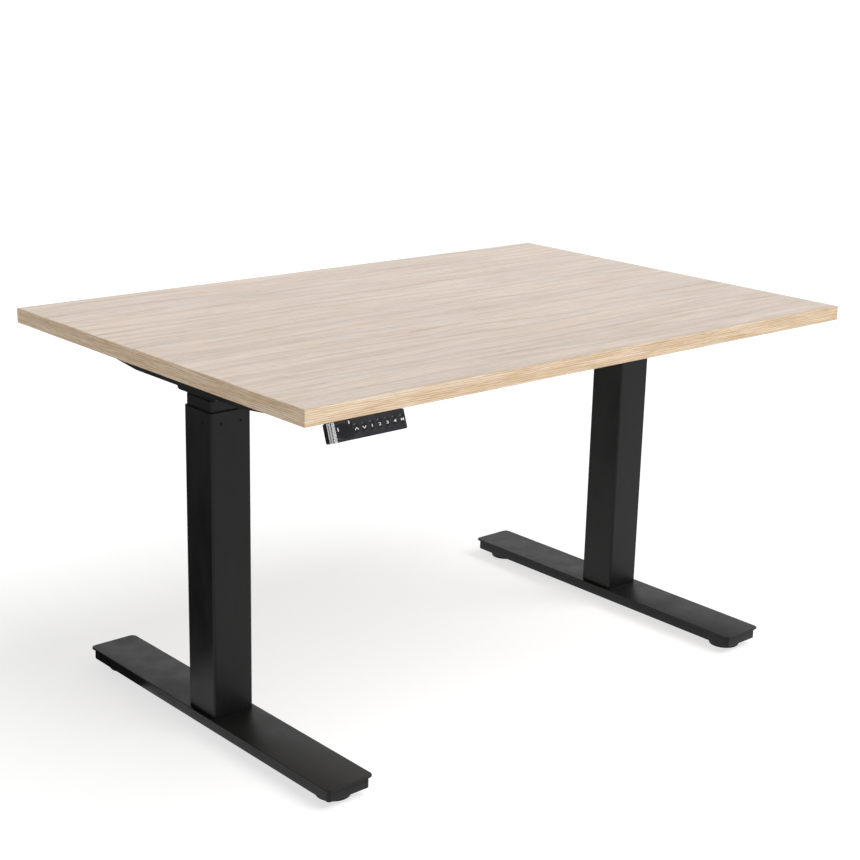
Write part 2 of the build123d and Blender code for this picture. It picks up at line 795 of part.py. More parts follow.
def make_control_board():
    """The circuit board on its posts, with its transformer, capacitors and heat sink."""
    low = box_low + box_wall + box_foot_gap
    length = box_length - 2 * box_wall - 2 * board_gap
    width = box_width - 2 * box_wall - 2 * board_gap
    with BuildPart() as board:
        extrude(bar(length, width, 0, 0, low), amount=board_thickness)
        for (long, wide, tall), x in ((transformer, transformer_x), (heat_sink, heat_sink_x)):
            extrude(bar(long, wide, x, 0, low + board_thickness), amount=tall)
        places = [(capacitor_x, i * capacitor_pitch) for i in (-1, 0, 1)]
        extrude(discs(capacitor_radius, places, low + board_thickness), amount=capacitor_height)
    return board


# ---------------------------------------------------------------- handset


def face_slab(width, height, x, y, out):
    """A rectangle in the plane of the handset's face: x from its centre, y down from its top edge."""
    with BuildSketch(face.offset(out)) as section:
        with Locations((x, -y)):
            Rectangle(width, height)
    return section.sketch


def face_outline(shrink, out):
    """The handset's outline in the plane of its face, made smaller all round."""
    with BuildSketch(face.offset(out)) as section:
        with Locations((0, -handset_height / 2)):
            width = handset_width - 2 * shrink
            RectangleRounded(width, handset_height - 2 * shrink, handset_corner - shrink / 2)
    return section.sketch


key_xs = [key_first + i * key_pitch - handset_width / 2 for i in range(len(key_names))]
window_x = window_margin + window_width / 2 - handset_width / 2


def make_handset_rear():
    """The handset's rear shell, with the flange that is screwed under the desktop."""
    shell_depth = handset_depth - cover_depth
    with BuildPart() as rear:
        extrude(face_outline(0, -handset_depth), amount=shell_depth)
        cavity = face_outline(handset_wall, -handset_depth + handset_wall)
        flange_low = underside - flange_thickness
        flange_front = front_y + cover_depth + face_clearance
        flange_back = front_y + flange_depth
        flange = bar(handset_width, flange_back - flange_front,
                     handset_x, (flange_front + flange_back) / 2, flange_low)
        extrude(flange, amount=flange_thickness)
        extrude(cavity, amount=shell_depth - handset_wall, mode=Mode.SUBTRACT)
        places = [(handset_x + s * flange_screw_spread / 2, flange_screw_y) for s in (-1, 1)]
        holes = discs(screw_radius + bolt_clearance, places, flange_low)
        extrude(holes, amount=flange_thickness, mode=Mode.SUBTRACT)
    return rear


def make_handset_front():
    """The handset's front cover, with an opening for each key and a recess for the window."""
    with BuildPart() as cover:
        extrude(face_outline(0, -cover_depth), amount=cover_depth)
        front = cover.faces().sort_by(Axis(face.origin, face.z_dir))[-1]
        fillet(front.edges(), cover_rounding)
        hollow = face_outline(handset_wall, -cover_depth)
        extrude(hollow, amount=cover_depth - cover_thickness, mode=Mode.SUBTRACT)
        recess = face_slab(window_width, window_height, window_x, handset_height / 2, 0)
        extrude(recess, amount=-window_thickness, mode=Mode.SUBTRACT)
        for x in key_xs:
            opening = face_slab(key_width + 2 * key_clearance, key_height + 2 * key_clearance,
                                x, key_centre, 0)
            extrude(opening, amount=-cover_thickness, mode=Mode.SUBTRACT)
    return cover


def make_display_window():
    """The display's window, set flush in the front cover."""
    with BuildPart() as window:
        pane = face_slab(window_width, window_height, window_x, handset_height / 2, 0)
        extrude(pane, amount=-window_thickness)
    return window


def make_key(x):
    """A key flush with the front cover, with a lip behind it above and below that keeps it in."""
    back = cover_thickness + key_clearance
    with BuildPart() as key:
        extrude(face_slab(key_width, key_height, x, key_centre, 0), amount=-back)
        lip = face_slab(key_width, key_height + 2 * key_retainer, x, key_centre, -back)
        extrude(lip, amount=-key_retainer_thickness)
    return key


# -------------------------------------------------------------- fasteners


def make_desk_screws():
    """The wood screws that hold the brackets, the handset and the control box."""
    heights = {"bracket": beam_top, "handset": underside - flange_thickness, "box": box_top}
    places = desk_screw_places()
    count = 2 * len(bracket_screw_ys)
    groups = {"bracket": places[:count], "handset": places[count:count + 2], "box": places[count + 2:]}
    with BuildPart() as screws:
        for name, group in groups.items():
            low = heights[name]
            extrude(discs(screw_head_radius, group, low), amount=-screw_head_height)
            length = underside - low + screw_bite - screw_end_gap
            extrude(discs(screw_radius, group, low), amount=length)
    return screws


def make_foot_bolts():
    """The bolts up through each foot into its column's bottom plate."""
    places = square_places(-column_x, bolt_pitch) + square_places(column_x, bolt_pitch)
    with BuildPart() as bolts:
        heads = discs(foot_bolt_head_radius, places, plate_low)
        extrude(heads, amount=-foot_bolt_head_height)
        stems = discs(foot_bolt_radius, places, plate_low)
        extrude(stems, amount=foot_plate + column_plate - face_clearance)
    return bolts


def make_frame_bolts():
    """The bolts of the frame: column heads, gearboxes, brackets and the sliding rail."""
    floor_z = beam_low + beam_wall
    with BuildPart() as bolts:
        for sx in sides.values():
            column_places = square_places(sx * column_x, bolt_pitch)
            for place in column_places:
                with Locations((*place, floor_z)):
                    Cone(bolt_radius, countersink_radius, countersink_radius - bolt_radius,
                         align=(Align.CENTER, Align.CENTER, Align.MAX))
            stems = discs(bolt_radius, column_places, floor_z)
            extrude(stems, amount=-(beam_wall + column_plate))
            ears = gearbox_bolt_places(sx)
            extrude(discs(bolt_head_radius, ears, floor_z + gearbox_wall), amount=bolt_head_height)
            stems = discs(bolt_radius, ears, floor_z + gearbox_wall)
            extrude(stems, amount=-(gearbox_wall + beam_wall))
            lips = [(sx * beam_bolt_x, s * beam_bolt_y) for s in (-1, 1)]
            extrude(discs(bolt_head_radius, lips, beam_top - beam_wall), amount=-bolt_head_height)
            stems = discs(bolt_radius, lips, beam_top - beam_wall)
            extrude(stems, amount=beam_wall + bracket_thickness - face_clearance)
            for sy in (-1, 1):
                with BuildSketch(Plane((0, sy * beam_width / 2, rail_bolt_z), x_dir=(1, 0, 0),
                                       z_dir=(0, sy, 0))):
                    with Locations(*[(sx * bx, 0) for bx in rail_bolt_xs]):
                        Circle(bolt_head_radius)
                extrude(amount=bolt_head_height)
                with BuildSketch(Plane((0, sy * beam_width / 2, rail_bolt_z), x_dir=(1, 0, 0),
                                       z_dir=(0, sy, 0))):
                    with Locations(*[(sx * bx, 0) for bx in rail_bolt_xs]):
                        Circle(bolt_radius)
                extrude(amount=-(2 * beam_wall + rail_clearance + rail_bolt_end))
    return bolts


# ------------------------------------------------------------ the assembly

save(make_board(), "desktop_board")
save(make_long_band(-1), "edge_band_front")
save(make_long_band(1), "edge_band_back")

for side, sx in sides.items():
    save(make_short_band(sx), f"edge_band_{side}")
    save(make_foot(sx), f"foot_{side}")
    save(make_outer_tube(sx), f"outer_tube_{side}")
    save(make_middle_tube(sx), f"middle_tube_{side}")
    save(make_inner_tube(sx), f"inner_tube_{side}")
    save(make_outer_guides(sx), f"outer_guides_{side}")
    save(make_middle_guides(sx), f"middle_guides_{side}")
    save(make_fixed_screw(sx), f"fixed_screw_{side}")
    save(make_hollow_screw(sx), f"hollow_screw_{side}")
    save(make_lift_nut(sx), f"lift_nut_{side}")
    save(make_drive_shaft(sx), f"drive_shaft_{side}")
    save(make_gearbox(sx), f"gearbox_{side}")
    save(make_motor(sx), f"motor_{side}")
    save(make_motor_worm(sx), f"motor_worm_{side}")
    save(make_crossbeam_end(sx), f"crossbeam_{side}")
    save(make_side_bracket(sx), f"side_bracket_{side}")

for corner, (sx, sy) in corners.items():
    save(make_pad(sx, sy), f"glide_pad_{corner}")
    save(make_stud(sx, sy), f"glide_stud_{corner}")

save(make_crossbeam_centre(), "crossbeam_centre")
save(make_box_base(), "control_box_base")
save(make_box_lid(), "control_box_lid")
save(make_control_board(), "control_board")
save(make_handset_rear(), "handset_rear")
save(make_handset_front(), "handset_front")
save(make_display_window(), "display_window")
for name, x in zip(key_names, key_xs):
    save(make_key(x), name)

save(make_desk_screws(), "desk_screws")
save(make_foot_bolts(), "foot_bolts")
save(make_frame_bolts(), "frame_bolts")
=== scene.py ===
from math import cos, pi, radians, sin, tau

import bmesh
import bpy
from bpy.props import FloatProperty, FloatVectorProperty, PointerProperty, StringProperty
from mathutils import Matrix, Vector


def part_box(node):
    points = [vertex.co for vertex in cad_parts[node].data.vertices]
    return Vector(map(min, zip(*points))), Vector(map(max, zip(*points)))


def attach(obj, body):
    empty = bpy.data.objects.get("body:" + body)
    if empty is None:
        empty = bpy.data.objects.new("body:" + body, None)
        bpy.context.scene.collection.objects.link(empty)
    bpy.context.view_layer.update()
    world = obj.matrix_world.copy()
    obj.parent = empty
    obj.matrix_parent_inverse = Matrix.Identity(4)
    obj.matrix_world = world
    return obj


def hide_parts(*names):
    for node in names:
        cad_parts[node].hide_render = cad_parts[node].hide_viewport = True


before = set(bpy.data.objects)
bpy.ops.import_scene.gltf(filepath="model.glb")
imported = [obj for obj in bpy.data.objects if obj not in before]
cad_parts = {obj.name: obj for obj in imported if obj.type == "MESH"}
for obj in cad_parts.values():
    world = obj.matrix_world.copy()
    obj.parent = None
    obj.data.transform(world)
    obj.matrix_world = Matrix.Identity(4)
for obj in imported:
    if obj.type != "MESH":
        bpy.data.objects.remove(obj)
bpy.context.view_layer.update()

bl_info = {
    "name": "Sit-stand desk",
    "version": (1, 0, 0),
    "blender": (4, 5, 0),
    "location": "View3D > Sidebar > Desk",
    "description": "Dresses the packed sit-stand desk with its oak top, steelwork, glides and handset",
    "category": "Object",
}

SIDES = {"left": -1, "right": 1}
CORNERS = ("front_left", "front_right", "back_left", "back_right")
KEYS = ("key_up", "key_down", "key_1", "key_2", "key_3", "key_4", "key_memory")
KEY_SIGNS = {"key_1": "1", "key_2": "2", "key_3": "3", "key_4": "4", "key_memory": "M"}
MM = 0.001
# heights on the handset's face, in mm below its top edge: its keys and its window, low end first
KEY_SPAN = (-21.8, -7.8)
WINDOW_SPAN = (-25.35, -3.35)


# ------------------------------------------------------------ small tools


def linear(code):
    """An sRGB hex colour as linear red, green, blue and alpha."""
    parts = [int(code[i:i + 2], 16) / 255 for i in (1, 3, 5)]
    return tuple(c / 12.92 if c <= 0.04045 else ((c + 0.055) / 1.055) ** 2.4 for c in parts) + (1.0,)


def per_metre(x_mm, y_mm, z_mm):
    """A Mapping scale that makes a pattern's features this long along each axis."""
    return (1 / (x_mm * MM), 1 / (y_mm * MM), 1 / (z_mm * MM))


def feed(tree, node, inputs):
    """Set a node's sockets, each to a value or to the socket that feeds it."""
    for key, value in inputs.items():
        if isinstance(value, bpy.types.NodeSocket):
            tree.links.new(value, node.inputs[key])
        else:
            node.inputs[key].default_value = value


def add(tree, kind, inputs=None, stops=None, **settings):
    """Add a node: settings are its properties, inputs what its sockets are fed, stops its colour ramp."""
    node = tree.nodes.new(kind)
    for key, value in settings.items():
        setattr(node, key, value)
    feed(tree, node, inputs or {})
    if stops:
        ramp = node.color_ramp
        while len(ramp.elements) < len(stops):
            ramp.elements.new(0.5)
        for element, (place, colour) in zip(ramp.elements, stops):
            element.position = place
            element.color = colour
    return node


def start_material(name):
    """An empty material with its object coordinates and its shader, joined to the output."""
    material = bpy.data.materials.new(name)
    material.use_nodes = True
    tree = material.node_tree
    tree.nodes.clear()
    coords = add(tree, "ShaderNodeTexCoord").outputs["Object"]
    shader = add(tree, "ShaderNodeBsdfPrincipled")
    add(tree, "ShaderNodeOutputMaterial", {"Surface": shader.outputs["BSDF"]})
    return material, tree, coords, shader


def grey(value):
    """A grey for a colour ramp that carries a plain number."""
    return (value, value, value, 1.0)


def both(*names):
    """The node names of a left and right pair, for each of the names."""
    return [f"{name}_{side}" for name in names for side in SIDES]


def give(node_names, material):
    """Put a material on CAD nodes."""
    for name in node_names:
        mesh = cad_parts[name].data
        mesh.materials.clear()
        mesh.materials.append(material)


def finish_piece(bm, name, finish, body, replaces=(), sharp=35, place=None):
    """Turn a bmesh, moved to its place, into a piece that rides on a body.

    Faces that meet at more than the sharp angle, in degrees, stay flat.
    """
    if place:
        bmesh.ops.transform(bm, matrix=place, verts=bm.verts)
    bmesh.ops.remove_doubles(bm, verts=bm.verts, dist=1e-6)
    bmesh.ops.recalc_face_normals(bm, faces=bm.faces)
    mesh = bpy.data.meshes.new(name)
    bm.to_mesh(mesh)
    bm.free()
    mesh.shade_smooth()
    mesh.set_sharp_from_angle(angle=radians(sharp))
    mesh.materials.append(MATERIALS[finish])
    piece = bpy.data.objects.new(name, mesh)
    bpy.context.scene.collection.objects.link(piece)
    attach(piece, body)
    if replaces:
        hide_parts(*replaces)
    return piece


def add_box(bm, low, high):
    """A box between two corners; returns its vertices."""
    size = Vector(high) - Vector(low)
    middle = (Vector(high) + Vector(low)) / 2
    verts = bmesh.ops.create_cube(bm, size=1)["verts"]
    bmesh.ops.scale(bm, vec=size, verts=verts)
    bmesh.ops.translate(bm, vec=middle, verts=verts)
    return verts


def edges_of(verts):
    """Every edge whose two ends are among the vertices."""
    chosen = set(verts)
    return list({e for v in verts for e in v.link_edges if set(e.verts) <= chosen})


def along(edges, axis):
    """The edges that run along one axis."""
    return [e for e in edges if abs((e.verts[0].co - e.verts[1].co).normalized()[axis]) > 0.999]


def round_edges(bm, edges, radius, segments=3):
    """Round edges off; returns the new faces."""
    done = bmesh.ops.bevel(bm, geom=edges, offset=radius, offset_type="OFFSET", segments=segments,
                           profile=0.5, affect="EDGES", material=-1, clamp_overlap=True)
    return done["faces"]


def round_uprights(bm, verts, radius, segments):
    """Round the edges of a box that run along its Z."""
    round_edges(bm, along(edges_of(verts), 2), radius, segments)


def verts_in(made):
    """The vertices among what an operation made."""
    return [g for g in made if isinstance(g, bmesh.types.BMVert)]


def spin_profile(bm, profile, centre, steps):
    """Spin a half section, given as radius and height in mm, about an upright axis."""
    verts = [bm.verts.new((centre[0] + r * MM, centre[1], centre[2] + z * MM)) for r, z in profile]
    edges = [bm.edges.new(pair) for pair in zip(verts, verts[1:])]
    bmesh.ops.spin(bm, geom=verts + edges, cent=centre, axis=(0, 0, 1), angle=tau, steps=steps,
                   use_merge=True)


def middle_of(node):
    """The centre of a CAD node's box."""
    low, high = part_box(node)
    return (low + high) / 2


# -------------------------------------------------------------- materials


def placed(tree, coords, x_mm, y_mm, z_mm, turn=0.0):
    """Coordinates for a pattern whose features are this long along each axis, turned about Z."""
    return add(tree, "ShaderNodeMapping", {"Vector": coords, "Scale": per_metre(x_mm, y_mm, z_mm),
                                           "Rotation": (0, 0, turn)}).outputs[0]


def noise(tree, vector, detail, rough=0.5):
    """A noise pattern of scale 1 on placed coordinates."""
    return add(tree, "ShaderNodeTexNoise", {"Vector": vector, "Scale": 1.0, "Detail": detail,
                                            "Roughness": rough}).outputs


def waves(tree, vector, direction, **sockets):
    """Wavy bands of scale 1 on placed coordinates: a wave repeats every 0.314 units."""
    inputs = {"Vector": vector, "Scale": 1.0, "Detail": 3.0}
    inputs.update({key.replace("_", " ").title(): value for key, value in sockets.items()})
    node = add(tree, "ShaderNodeTexWave", inputs, wave_type="BANDS", bands_direction=direction)
    return node.outputs["Fac"]


def ramp(tree, value, *stops):
    """A pattern's value as a colour."""
    return add(tree, "ShaderNodeValToRGB", {"Fac": value}, stops=stops).outputs["Color"]


def multiplied(tree, colour, *layers):
    """A colour darkened or lightened by each layer in turn."""
    for layer in layers:
        colour = add(tree, "ShaderNodeMix", {"Factor": 1.0, "A": colour, "B": layer},
                     data_type="RGBA", blend_type="MULTIPLY").outputs["Result"]
    return colour


def stretched(tree, value, low, high):
    """The part of a noise that it mostly keeps to, 0.3 to 0.7, stretched from low to high."""
    return add(tree, "ShaderNodeMapRange", {"Value": value, "From Min": 0.3, "From Max": 0.7,
                                            "To Min": low, "To Max": high}).outputs["Result"]


def bump(tree, height, strength, depth_mm):
    """A normal for a surface that rises and sinks with a pattern."""
    return add(tree, "ShaderNodeBump", {"Height": height, "Strength": strength,
                                        "Distance": depth_mm * MM}).outputs["Normal"]


def oak_melamine():
    """Pale oak paper pressed under matt melamine.

    Long grey-brown streaks over broad pale bands read as grain from afar. Fine dark pores, sunk a
    little, and faint saw lines across them show close by.
    """
    look = bpy.context.scene.desk_oak
    material, tree, coords, shader = start_material("printed_oak_melamine_pressed")
    drift = noise(tree, placed(tree, coords, 520, 130, 130), 2.0)["Color"]
    bend = add(tree, "ShaderNodeVectorMath", {0: drift, 1: (0, 0.075, 0), 2: coords},
               operation="MULTIPLY_ADD").outputs[0]
    tone = noise(tree, placed(tree, bend, 420, 46, 46), 3.0, 0.55)["Fac"]
    streak = noise(tree, placed(tree, bend, 110, 4, 4), 5.0, 0.62)["Fac"]
    figure = waves(tree, placed(tree, bend, 1500, 105, 105), "Y", distortion=9.0, detail_scale=0.8,
                   detail_roughness=0.6)
    pore = noise(tree, placed(tree, bend, 24, 1.5, 1.5), 2.0)["Fac"]
    saw = noise(tree, placed(tree, coords, 2.6, 34, 34, radians(4)), 1.0)["Fac"]
    pores = ramp(tree, pore, (0.31, grey(0.83)), (0.43, grey(1.0)), (1.0, grey(1.01)))
    colour = multiplied(
        tree,
        ramp(tree, tone, (0.32, linear(look.shade)), (0.5, linear(look.ground)),
             (0.68, linear(look.light))),
        ramp(tree, streak, (0.34, linear("#f1e9e1")), (0.52, grey(0.985)), (0.7, grey(1.02))),
        ramp(tree, figure, (0.0, linear("#f8f4ef")), (0.3, grey(0.995)), (1.0, grey(1.01))),
        pores,
        ramp(tree, saw, (0.34, grey(0.97)), (0.5, grey(1.0)), (0.7, grey(1.02))),
    )
    feed(tree, shader, {"Base Color": colour, "Roughness": stretched(tree, streak, 0.56, 0.44),
                        "Normal": bump(tree, pores, 0.25, 0.15)})
    return material


def oak_edge_band():
    """Printed ABS edge band: warmer than the top, with fine lines that run along its length."""
    look = bpy.context.scene.desk_oak
    material, tree, coords, shader = start_material("printed_oak_abs_edge_band")
    line_pitch = 3.1 / 0.314
    line = waves(tree, placed(tree, coords, 300, 300, line_pitch), "Z", distortion=6.5, detail_scale=3.0,
                 detail_roughness=0.65)
    fibre = noise(tree, placed(tree, coords, 17, 17, 0.8), 3.0)["Fac"]
    tone = noise(tree, placed(tree, coords, 150, 150, 10), 2.0)["Fac"]
    colour = multiplied(
        tree,
        ramp(tree, tone, (0.38, linear(look.band_shade)), (0.6, linear(look.band))),
        ramp(tree, line, (0.08, linear("#e9d3b4")), (0.45, linear("#f8efe3")), (1.0, grey(1.0))),
        ramp(tree, fibre, (0.34, grey(0.84)), (0.52, grey(0.99)), (0.7, grey(1.05))),
    )
    feed(tree, shader, {"Base Color": colour, "Roughness": 0.45, "Specular IOR Level": 0.35,
                        "Normal": bump(tree, fibre, 0.15, 0.1)})
    return material


def powder_coat():
    """Mild steel, powder coated satin black: a fine orange-peel skin with faint rubbed patches."""
    look = bpy.context.scene.desk_steel
    material, tree, coords, shader = start_material("satin_black_powder_coated_steel")
    peel = noise(tree, placed(tree, coords, 1.4, 1.4, 1.4), 2.0)["Fac"]
    rub = noise(tree, placed(tree, coords, 38, 38, 70), 4.0, 0.55)["Fac"]
    colour = ramp(tree, rub, (0.35, linear(look.coat_shade)), (0.65, linear(look.coat)))
    rough = stretched(tree, rub, look.roughness - 0.05, look.roughness + 0.06)
    feed(tree, shader, {"Base Color": colour, "Roughness": rough, "Specular IOR Level": 0.22,
                        "Normal": bump(tree, peel, 0.18, 0.06)})
    return material


def moulded(name, light, dark, rough, grain_mm, depth, gloss=0.5):
    """A moulded plastic or plain metal: slight tone variation and a fine grain of the given size."""
    material, tree, coords, shader = start_material(name)
    grain = noise(tree, placed(tree, coords, grain_mm, grain_mm, grain_mm), 2.0)["Fac"]
    tone = noise(tree, placed(tree, coords, 30, 30, 30), 3.0)["Fac"]
    colour = ramp(tree, tone, (0.35, linear(dark)), (0.65, linear(light)))
    sheen = stretched(tree, tone, rough * 0.88, rough * 1.12)
    feed(tree, shader, {"Base Color": colour, "Roughness": sheen, "Specular IOR Level": gloss,
                        "Normal": bump(tree, grain, depth, 0.05)})
    return material


def metal(name, light, dark, rough, grain_mm):
    """A bare or plated metal: the moulded pattern with the shader fully metallic."""
    material = moulded(name, light, dark, rough, grain_mm, 0.1)
    shader = next(n for n in material.node_tree.nodes if n.type == "BSDF_PRINCIPLED")
    shader.inputs["Metallic"].default_value = 1.0
    return material


def make_materials():
    """Every material of the desk, by the part it is for."""
    return {
        "oak": oak_melamine(),
        "band": oak_edge_band(),
        "steel": powder_coat(),
        # nearly black and hardly shining, so the guides read as gaps between the tubes
        "guide": moulded("black_acetal_moulded", "#0f0f10", "#0a0a0b", 0.5, 0.8, 0.15, 0.12),
        # a touch paler than the steel, with a soft sheen on the pad's rim
        "glide": moulded("black_nylon_moulded", "#262627", "#1c1c1d", 0.55, 1.0, 0.2, 0.3),
        # a sparked mould's coarse grain breaks up any highlight
        "box": moulded("black_abs_spark_textured", "#1f1f20", "#18181a", 0.6, 0.9, 0.35, 0.3),
        # a finer grain, duller than the cover in front of it
        "shell": moulded("black_abs_fine_textured", "#1a1a1c", "#141416", 0.42, 0.7, 0.12, 0.3),
        # a polished mould, so the cover mirrors the studio softly
        "gloss": moulded("gloss_black_abs_polished", "#2b2b2e", "#252528", 0.13, 2.2, 0.02),
        # the smoothest black of all, so the window parts from the cover by its sharper reflection
        "pane": moulded("smoked_acrylic_cast", "#28282b", "#232326", 0.1, 3.0, 0.02),
        # flat ink, the brightest thing on the handset; it also colours the painted highlights in the window
        "print": moulded("white_pad_printed_ink", "#f4f4f2", "#e6e6e4", 0.5, 0.5, 0.1),
        # a cool pale grey with a soft glint
        "zinc": metal("bright_zinc_plated_steel", "#c9ccd0", "#aeb2b7", 0.32, 1.5),
        # dark but still metallic, so a bolt's head shows against the coat
        "oxide": metal("black_oxide_steel", "#3a3a3c", "#28282a", 0.38, 1.0),
        # the grease warms the grey and sharpens the glint along a thread
        "rolled": metal("rolled_screw_steel_greased", "#9a9a98", "#7d7c78", 0.28, 1.2),
        # a rougher, even grey, as it leaves the die
        "cast": metal("die_cast_aluminium", "#a9aaad", "#8e8f92", 0.46, 1.6),
        # smooth sprayed paint, a little glossier than the powder coat
        "can": moulded("black_painted_motor_can", "#222224", "#19191b", 0.4, 1.2, 0.15),
        # milky white, with the faint tone changes of a turned bar
        "nut": moulded("natural_acetal_turned", "#e4e1d8", "#d3cfc4", 0.4, 1.0, 0.15),
        # green lacquer that shines where the weave lets it
        "board": moulded("green_solder_mask_laminate", "#1f6b3a", "#17542d", 0.35, 1.4, 0.2),
    }


# ----------------------------------------------------------- the settings


class DeskOak(bpy.types.PropertyGroup):
    """Colours of the oak print."""

    ground: StringProperty(name="Ground", description="Main tone of the top", default="#e3d4c8")
    light: StringProperty(name="Light", description="Pale bands in the top", default="#ead9ca")
    shade: StringProperty(name="Shade", description="Grey-brown bands in the top", default="#dccdc0")
    band: StringProperty(name="Edge", description="Light tone of the edge band", default="#f0dfca")
    band_shade: StringProperty(name="Edge shade", description="Dark tone of the edge band",
                               default="#e4cfb5")


class DeskSteel(bpy.types.PropertyGroup):
    """Colours and shapes of the steelwork."""

    plate: FloatProperty(name="Foot plate", description="Thickness of a foot's plate", default=3 * MM,
                         subtype="DISTANCE")
    foot_corner: FloatProperty(name="Foot corner", description="Radius of the plate's corners",
                               default=10 * MM, subtype="DISTANCE")
    overhang: FloatProperty(name="Overhang", description="Plate past the channel, all round",
                            default=5 * MM, subtype="DISTANCE")
    wall: FloatProperty(name="Wall", description="Thickness of the channel's sheet", default=2 * MM,
                        subtype="DISTANCE")
    bend: FloatProperty(name="Bend", description="Outside radius of the channel's bends", default=2.6 * MM,
                        subtype="DISTANCE")
    fold: FloatProperty(name="Lower edge", description="Rounding of the channel's lower edge",
                        default=0.8 * MM, subtype="DISTANCE")
    coat: StringProperty(name="Coat", description="Light tone of the powder coat", default="#1e1e1e")
    coat_shade: StringProperty(name="Coat shade", description="Dark tone of the powder coat",
                               default="#171717")
    roughness: FloatProperty(name="Roughness", description="Roughness of the coat", default=0.42)
    edge: FloatProperty(name="Edge radius", description="Rounding of cut sheet edges", default=0.6 * MM,
                        subtype="DISTANCE")


class DeskHandset(bpy.types.PropertyGroup):
    """Shape of the handset, its keys and their signs."""

    height: FloatProperty(name="Height", description="Height of the face along its slope",
                          default=28.7 * MM, subtype="DISTANCE")
    depth: FloatProperty(name="Depth", description="Depth of the handset behind its face", default=14 * MM,
                         subtype="DISTANCE")
    cover_depth: FloatProperty(name="Cover depth", description="Depth of the front cover", default=4 * MM,
                               subtype="DISTANCE")
    step: FloatProperty(name="Step", description="How far the cover's left end lies behind its face",
                        default=1.3 * MM, subtype="DISTANCE")
    key_gap: FloatProperty(name="Key gap", description="Gap round each key", default=0.05 * MM,
                           subtype="DISTANCE")
    tilt: FloatProperty(name="Tilt", description="Tilt of the face from upright", default=radians(19.6),
                        subtype="ANGLE")
    sign: FloatProperty(name="Sign size", description="Height of a key's sign", default=5.6 * MM,
                        subtype="DISTANCE")
    stroke: FloatProperty(name="Stroke", description="Line width of the arrows", default=0.95 * MM,
                          subtype="DISTANCE")


class DeskStudio(bpy.types.PropertyGroup):
    """The studio round the desk."""

    camera: FloatVectorProperty(name="Camera", description="Where the camera stands", size=3,
                                default=(-1.8962, -2.12205, 1.24745), subtype="TRANSLATION")
    yaw: FloatProperty(name="Yaw", description="Camera turned from +Y towards +X", default=0.74077,
                       subtype="ANGLE")
    pitch: FloatProperty(name="Pitch", description="Camera turned down", default=0.28537, subtype="ANGLE")
    roll: FloatProperty(name="Roll", description="Camera turned about its own axis", default=0.02922,
                        subtype="ANGLE")
    lens: FloatProperty(name="Lens", description="Focal length on a 36 mm sensor", default=69.676)
    shift: FloatVectorProperty(name="Shift", description="Sideways and upward shift", size=2,
                               default=(-0.03186, 0.01228))
    ambient: FloatProperty(name="Ambient", description="Light from the room", default=0.15)
    key: FloatProperty(name="Key", description="Strength of the silk above the front", default=2.78)
    strip: FloatProperty(name="Strip", description="Power of the small lamp on the handset's end",
                         default=17)
    wall: FloatProperty(name="Wall", description="Power of the lit wall behind the desk", default=34)
    slit: FloatProperty(name="Slit", description="Power of the small lamp on the handset's bevel",
                        default=45)


# ----------------------------------------------------------------- pieces

MATERIALS = {}


class DESK_OT_stage(bpy.types.Operator):
    """Sets up the floor, the camera and the lights"""

    bl_idname = "desk.stage"
    bl_label = "Studio"

    def execute(self, context):
        studio = context.scene.desk_studio
        place_camera(studio)
        place_floor()
        place_flag()
        place_lights(studio)
        context.scene.view_settings.view_transform = "Standard"
        return {"FINISHED"}


def place_camera(studio):
    """The camera, turned by yaw, pitch and roll."""
    yaw, pitch, roll = studio.yaw, studio.pitch, studio.roll
    ahead = Vector((cos(pitch) * sin(yaw), cos(pitch) * cos(yaw), -sin(pitch)))
    right = Vector((cos(yaw), -sin(yaw), 0))
    up = right.cross(ahead)
    right, up = cos(roll) * right + sin(roll) * up, cos(roll) * up - sin(roll) * right
    data = bpy.data.cameras.new("camera")
    data.sensor_width = 36
    data.lens = studio.lens
    data.shift_x, data.shift_y = studio.shift
    camera = bpy.data.objects.new("camera", data)
    turned = Matrix((right, up, -ahead)).transposed().to_4x4()
    camera.matrix_world = Matrix.Translation(studio.camera) @ turned
    bpy.context.scene.collection.objects.link(camera)
    bpy.context.scene.camera = camera


def level_sheet(name, material, half_x, half_y, middle):
    """A flat sheet of the studio, by its half lengths and its middle in metres."""
    bm = bmesh.new()
    bmesh.ops.create_grid(bm, x_segments=1, y_segments=1, size=1)
    bmesh.ops.scale(bm, vec=(half_x, half_y, 1), verts=bm.verts)
    bmesh.ops.translate(bm, vec=middle, verts=bm.verts)
    mesh = bpy.data.meshes.new(name)
    bm.to_mesh(mesh)
    bm.free()
    mesh.materials.append(material)
    sheet = bpy.data.objects.new(name, mesh)
    bpy.context.scene.collection.objects.link(sheet)
    return sheet


def place_floor():
    """A pale floor, lit from within like a product table, so shadows on it stay faint."""
    material, tree, _, shader = start_material("pale_studio_floor_paint")
    feed(tree, shader, {"Base Color": linear("#a9a9a9"), "Roughness": 0.9, "Specular IOR Level": 0.0,
                        "Emission Color": linear("#ffffff"), "Emission Strength": 0.7})
    # clear from behind, so the desk can be seen from below
    side = add(tree, "ShaderNodeNewGeometry")
    clear = add(tree, "ShaderNodeBsdfTransparent")
    mix = add(tree, "ShaderNodeMixShader", {0: side.outputs["Backfacing"], 1: shader.outputs[0],
                                            2: clear.outputs[0]})
    output = next(n for n in tree.nodes if n.type == "OUTPUT_MATERIAL")
    tree.links.new(mix.outputs[0], output.inputs["Surface"])
    floor = level_sheet("studio_floor", material, 400, 400, (0, 0, -0.15 * MM))


